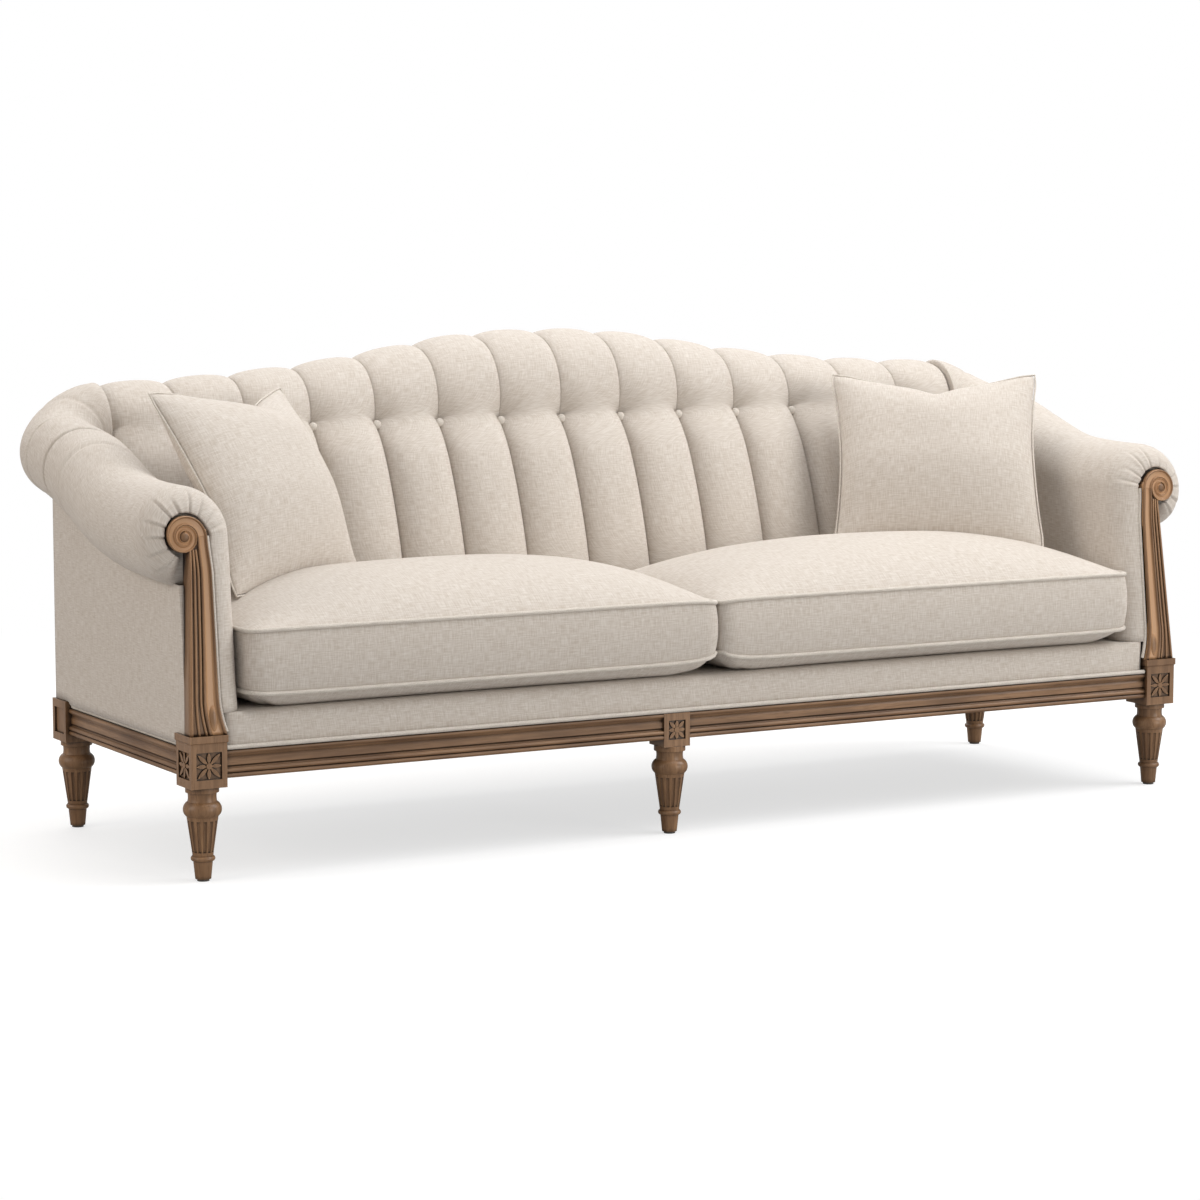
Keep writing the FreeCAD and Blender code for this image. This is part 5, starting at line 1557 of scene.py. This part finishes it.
@dataclass
class CarvedFacing:
    """Arm facing: a tapered upright with reeds and a hollow band that curls over into a volute."""
    plan: Plan
    side: Side
    volute_x: float = 1.084
    volute_z: float = 0.616
    volute_start: float = 0.043
    tightening: float = 0.55
    turns: float = 2.25
    eye_radius: float = 0.0095
    eye_rise: float = 0.006
    eye_seat: float = 0.004
    band_foot: float = 0.036
    bead: Pairs = (
        (0.0, 0.009), (0.0, 0.003), (0.02, 0.0014), (0.05, 0.0004), (0.09, 0.0), (0.14, 0.0004),
        (0.18, 0.0016), (0.22, 0.0034), (0.34, 0.0046), (0.5, 0.0052))
    bead_foot: float = 0.008
    board_sink: float = 0.0045
    board_top: float = 0.012
    board_edge: Pairs = ((0.0, 0.0016), (0.0004, 0.0004), (0.0016, 0.0))
    shoulder_z: float = 0.590
    shoulder: float = 0.012
    ground_rim: float = 0.0012
    ground_rings: Pairs = ((0.0, 0.0048), (0.0008, 0.0040), (0.003, 0.0036))
    tongue_rise: float = 0.030
    tongue_size: Sequence[float] = (0.0085, 0.024, 0.0045, 0.0056)
    reeds: int = 3
    reed_radius: float = 0.0027
    reed_top: float = 0.5935
    reed_room: float = 0.022
    reed_sink: float = 0.0006

    def build(self) -> None:
        """Carve the facing of one arm."""
        name = "carved_facing_" + self.side.word
        parts = [self.board(), self.band(), self.disc(), self.eye(), self.tongue()]
        parts += [self.reed(index) for index in range(self.reeds)]
        meshes = [skin(name, mirrored(points, self.side)) for points in parts]
        facing = new_object(name, joined(name, meshes), SHOW_WOOD.material(Grain.UPRIGHT))
        finished(facing, Body.FRAME, ["arm_facing_" + self.side.word])

    def placed(self, x: Array, z: Array, depth: Array) -> Array:
        """Points at a depth behind the raked front plane."""
        plan = self.plan
        y = plan.front_y + plan.facing_front + (z - plan.block_top) * math.tan(plan.facing_rake) + depth
        return np.stack(np.broadcast_arrays(x, y, z), axis=-1)

    def band_edge(self, z: Array) -> Array:
        """Outer edge of the hollow band on the stem, which widens toward the foot."""
        plan = self.plan
        share = np.clip((z - plan.block_top) / (self.volute_z - plan.block_top), 0.0, 1.0)
        width = mix(self.band_foot, self.volute_start * (1.0 - self.tightening), share ** 0.6)
        return plan.facing_inner_x(z) + width

    def volute(self, angle: Array) -> Array:
        """Radius of the volute's rim after a turn from the left, in radians."""
        return self.volute_start * self.tightening ** (angle / ROUND)

    def board(self) -> Array:
        """The plain upright behind the carving."""
        plan = self.plan
        z = np.linspace(plan.block_top + plan.rail_gap, self.volute_z + self.board_top, 60)[:, None]
        shoulder = smooth((z - self.shoulder_z) / self.shoulder)
        outer = mix(plan.facing_outer_x(z), self.band_edge(z), shoulder)
        corner = [(0.0, plan.facing_depth())]
        corner += [(step, depth + self.board_sink) for step, depth in self.board_edge]
        step, depth = np.array(corner).T
        x = np.hstack([plan.facing_inner_x(z) + step, outer - step[::-1]])
        return self.placed(x, z, np.concatenate([depth, depth[::-1]]))

    def band(self) -> Array:
        """The hollow band between two beads, up the stem and round into the volute."""
        plan = self.plan
        across, depth = np.array(self.bead).T
        across = np.concatenate([across, 1.0 - across[-2::-1]])
        depth = np.concatenate([depth, depth[-2::-1]])
        z = np.linspace(plan.block_top + plan.rail_gap, self.volute_z, 60)[:-1]
        first = np.stack([plan.facing_inner_x(z), z], axis=1)
        second = np.stack([self.band_edge(z), z], axis=1)
        turn = np.linspace(0.0, ROUND * self.turns, 150)
        ray = np.stack([-np.cos(turn), np.sin(turn)], axis=1)
        centre = np.array([self.volute_x, self.volute_z])
        rim = self.volute(turn)[:, None]
        first = np.vstack([first, centre + ray * rim])
        second = np.vstack([second, centre + ray * rim * self.tightening])
        flat = mix(first[:, None], second[:, None], across[None, :, None])
        scale = np.concatenate([np.ones(len(z)), np.sqrt(self.volute(turn) / self.volute_start)])[:, None]
        depth = np.where(depth < self.bead_foot, depth * scale, depth)
        return self.placed(flat[:, :, 0], flat[:, :, 1], depth)

    def disc(self) -> Array:
        """The ground of the volute, as deep as the facing."""
        turn = circle(96)
        rings = []
        for inset, depth in ((0.0, self.plan.facing_depth()), *self.ground_rings):
            reach = self.volute(turn) - self.ground_rim - inset
            x = self.volute_x - reach * np.cos(turn)
            rings.append(self.placed(x, self.volute_z + reach * np.sin(turn), depth))
        return np.array(rings)

    def dome(self, x: float, z: float, wide: float, tall: float, rise: float, seat: float) -> Array:
        """Rings of a low dome on the front of the facing.

        Args:
            x: Place of its middle across the facing.
            z: Height of its middle.
            wide: Half its width.
            tall: Half its height.
            rise: How far it stands out.
            seat: Depth of its foot behind the front plane.

        Returns:
            Rings of points from the foot to the top.
        """
        turn = circle(32)
        rings = []
        for lift in np.linspace(-0.35, QUARTER - 0.08, 10):
            reach = math.cos(max(lift, 0.0))
            across = x + wide * reach * np.cos(turn)
            up = z + tall * reach * np.sin(turn)
            rings.append(self.placed(across, up, seat - rise * math.sin(lift)))
        return np.array(rings)

    def eye(self) -> Array:
        """The button in the middle of the volute."""
        size = (self.eye_radius, self.eye_radius, self.eye_rise, self.eye_seat)
        return self.dome(self.volute_x, self.volute_z, *size)

    def tongue(self) -> Array:
        """The arched tongue at the foot of the band."""
        z = self.plan.block_top + self.tongue_rise
        x = (self.plan.facing_inner_x(np.array(z)) + self.band_edge(np.array(z))) / 2.0
        return self.dome(float(x), z, *self.tongue_size)

    def reed(self, index: int) -> Array:
        """One of the upright reeds between the band and the outer edge."""
        plan = self.plan
        z = np.linspace(plan.block_top + plan.rail_gap, self.reed_top, 50)[:, None]
        share = index / (self.reeds - 1)
        inner, outer = self.band_edge(z), plan.facing_outer_x(z)
        x = mix(inner + 1.5 * self.reed_radius, outer - 1.3 * self.reed_radius, share)
        turn = circle(12)
        near = self.reed_radius * np.clip((outer - inner) / self.reed_room, TINY, 1.0)
        return self.placed(x + near * np.cos(turn), z, self.board_sink - self.reed_sink + near * np.sin(turn))


@dataclass
class CadFinishes:
    """Finishes of the CAD nodes whose shape stays."""
    upright: Sequence[str] = ("leg_front_left", "leg_front_centre", "leg_front_right", "leg_rear_left",
                              "leg_rear_right", "block_front_left", "block_front_right", "block_rear_left",
                              "block_rear_right", "block_front_centre")
    along: Sequence[str] = ("front_rail_left", "front_rail_right", "rear_rail")
    deep: Sequence[str] = ("side_rail_left", "side_rail_right")
    frame_along: Sequence[str] = ("seat_rail_front", "seat_rail_rear", "crest_rail", "corner_braces")
    frame_deep: Sequence[str] = ("seat_rail_left", "seat_rail_right", "seat_stretchers", "arm_rail_left",
                                 "arm_rail_right", "arm_tacking_rails")
    frame_upright: Sequence[str] = ("arm_post_left", "arm_post_right", "rear_post_left", "rear_post_right",
                                    "back_formers")

    def dress(self) -> None:
        """Give each CAD node that stays its finish."""
        for names, material in (
            (self.upright, SHOW_WOOD.material(Grain.UPRIGHT)),
            (self.along, SHOW_WOOD.material(Grain.ALONG)),
            (self.deep, SHOW_WOOD.material(Grain.DEEP)),
            (self.frame_along, FRAME_WOOD.material(Grain.ALONG)),
            (self.frame_deep, FRAME_WOOD.material(Grain.DEEP)),
            (self.frame_upright, FRAME_WOOD.material(Grain.UPRIGHT)),
            (("seat_webbing", "back_webbing"), WEBBING.material()),
            (("dust_cover",), DUST_CLOTH.material()),
            (("leg_bolts", "brace_screws"), STEEL.material()),
            (("foot_glides",), GLIDE.material()),
        ):
            for name in names:
                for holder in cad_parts[name].material_slots:
                    holder.material = material
                LOG.info("%s: %s", name, material.name)


# Studio

WHITE = (1.0, 1.0, 1.0, 1.0)


@dataclass(frozen=True)
class Lamp:
    """A square soft lamp that looks at the settee."""
    name: str
    place: Triple
    size: float
    power: float
    tint: Triple = (1.0, 1.0, 1.0)

    def build(self, target: Triple) -> None:
        """Add the lamp to the scene, turned to a target."""
        data = bpy.data.lights.new(self.name, "AREA")
        data.size = self.size
        data.energy = self.power
        data.color = self.tint
        lamp = bpy.data.objects.new(self.name, data)
        lamp.location = self.place
        aim = Vector(target) - Vector(self.place)
        lamp.rotation_euler = aim.to_track_quat("-Z", "Y").to_euler()
        bpy.context.scene.collection.objects.link(lamp)


@dataclass
class Studio:
    """Camera, lamps, white floor and background."""
    place: Triple = (-3.4525, -6.1048, 1.2112)
    azimuth: float = math.radians(-29.35)
    elevation: float = math.radians(6.57)
    lens: float = 104.87
    target: Triple = (0.0, 0.0, 0.45)
    lamps: Sequence[Lamp] = (
        Lamp("key", (4.2, -2.2, 4.4), 3.0, 166.0, (0.98, 0.99, 1.0)),
        Lamp("fill", (-6.0, 0.0, 2.4), 3.5, 108.0, (1.0, 0.91, 0.82)),
        Lamp("front", (3.0, -6.1, 1.2), 3.0, 142.0, (1.0, 0.965, 0.915)),
        Lamp("top", (0.3, 0.4, 4.6), 4.0, 140.0),
        Lamp("rear", (0.5, 5.0, 3.0), 3.5, 60.0),
    )
    soft_light: float = 0.46
    floor_half: float = 60.0
    floor_grey: float = 0.44
    floor_glow: float = 0.64
    floor_fade: Sequence[float] = (1.3, 3.2)

    def build(self) -> None:
        """Set up the camera and the light."""
        scene = bpy.context.scene
        scene.view_settings.view_transform = "Standard"
        data = bpy.data.cameras.new("camera")
        data.lens = self.lens
        data.sensor_width = 36.0
        data.clip_end = 100.0
        camera = bpy.data.objects.new("camera", data)
        camera.location = self.place
        camera.rotation_euler = (QUARTER - self.elevation, 0.0, self.azimuth)
        scene.collection.objects.link(camera)
        scene.camera = camera
        for lamp in self.lamps:
            lamp.build(self.target)
        self.world()
        self.floor()

    def seen(self, pen: Pen) -> bpy.types.NodeSocket:
        """Whether a ray comes from the camera, straight or through something clear."""
        path = pen.add("ShaderNodeLightPath")
        return pen.maths("MAXIMUM", path.outputs["Is Camera Ray"], path.outputs["Is Transmission Ray"])

    def world(self) -> None:
        """A white background with a softer light of its own."""
        world = bpy.data.worlds.new("studio")
        bpy.context.scene.world = world
        world.use_nodes = True
        pen = Pen(world.node_tree)
        world.node_tree.nodes.clear()
        white = pen.add("ShaderNodeBackground", {"Color": WHITE, "Strength": 1.0})
        soft = pen.add("ShaderNodeBackground", {"Color": WHITE, "Strength": self.soft_light})
        either = pen.add("ShaderNodeMixShader", {0: self.seen(pen), 1: soft.outputs[0], 2: white.outputs[0]})
        pen.add("ShaderNodeOutputWorld", {0: either.outputs[0]})

    def floor(self) -> None:
        """A white floor that keeps the settee's soft shadow."""
        material = bpy.data.materials.new("studio_floor")
        material.use_nodes = True
        pen = Pen(material.node_tree)
        material.node_tree.nodes.clear()
        matt = pen.add("ShaderNodeBsdfDiffuse", {"Color": (*(self.floor_grey,) * 3, 1.0)})
        glow = pen.add("ShaderNodeEmission", {"Color": WHITE, "Strength": self.floor_glow})
        both = pen.add("ShaderNodeAddShader", {0: matt.outputs[0], 1: glow.outputs[0]})
        white = pen.add("ShaderNodeEmission", {"Color": WHITE, "Strength": 1.0})
        spot = pen.add("ShaderNodeTexCoord").outputs["Object"]
        far_off = pen.add("ShaderNodeVectorMath", {0: spot}, operation="LENGTH").outputs["Value"]
        near, far = self.floor_fade
        fade = pen.add("ShaderNodeMapRange", {"Value": far_off, "From Min": near, "From Max": far},
                       interpolation_type="SMOOTHSTEP")
        paper = pen.add("ShaderNodeMixShader", {0: fade.outputs[0], 1: both.outputs[0], 2: white.outputs[0]})
        either = pen.add("ShaderNodeMixShader", {0: self.seen(pen), 1: matt.outputs[0], 2: paper.outputs[0]})
        pen.add("ShaderNodeOutputMaterial", {0: either.outputs[0]})
        mesh = bpy.data.meshes.new("studio_floor")
        half = self.floor_half
        corners = [(-half, -half, 0), (half, -half, 0), (half, half, 0), (-half, half, 0)]
        mesh.from_pydata(corners, [], [(0, 1, 2, 3)])
        mesh.materials.append(material)
        floor = bpy.data.objects.new("studio_floor", mesh)
        bpy.context.scene.collection.objects.link(floor)


def main() -> None:
    """Build every piece of the settee and the studio."""
    logging.basicConfig(level=logging.INFO, format="%(message)s")
    plan = Plan()
    CadFinishes().dress()
    ChannelBack(plan).build()
    for side in Side:
        RolledArm(plan, side).build()
        CarvedFacing(plan, side).build()
    SeatPlatform(plan).build()
    OutsideCovers(plan).build()
    Trim(plan).build()
    SeatCushion(plan, Side.LEFT, Body.CUSHION_LEFT).build()
    SeatCushion(plan, Side.RIGHT, Body.CUSHION_RIGHT).build()
    ThrowPillow(plan, Side.LEFT, Body.PILLOW_LEFT, turn=math.radians(32.6), lean=math.radians(32.0),
                chop=0.056, chop_place=0.075).build()
    ThrowPillow(plan, Side.RIGHT, Body.PILLOW_RIGHT, turn=math.radians(-30.7), lean=math.radians(37.0),
                chop=0.060, chop_place=0.0).build()
    Studio().build()


if __name__ == "__main__":
    main()
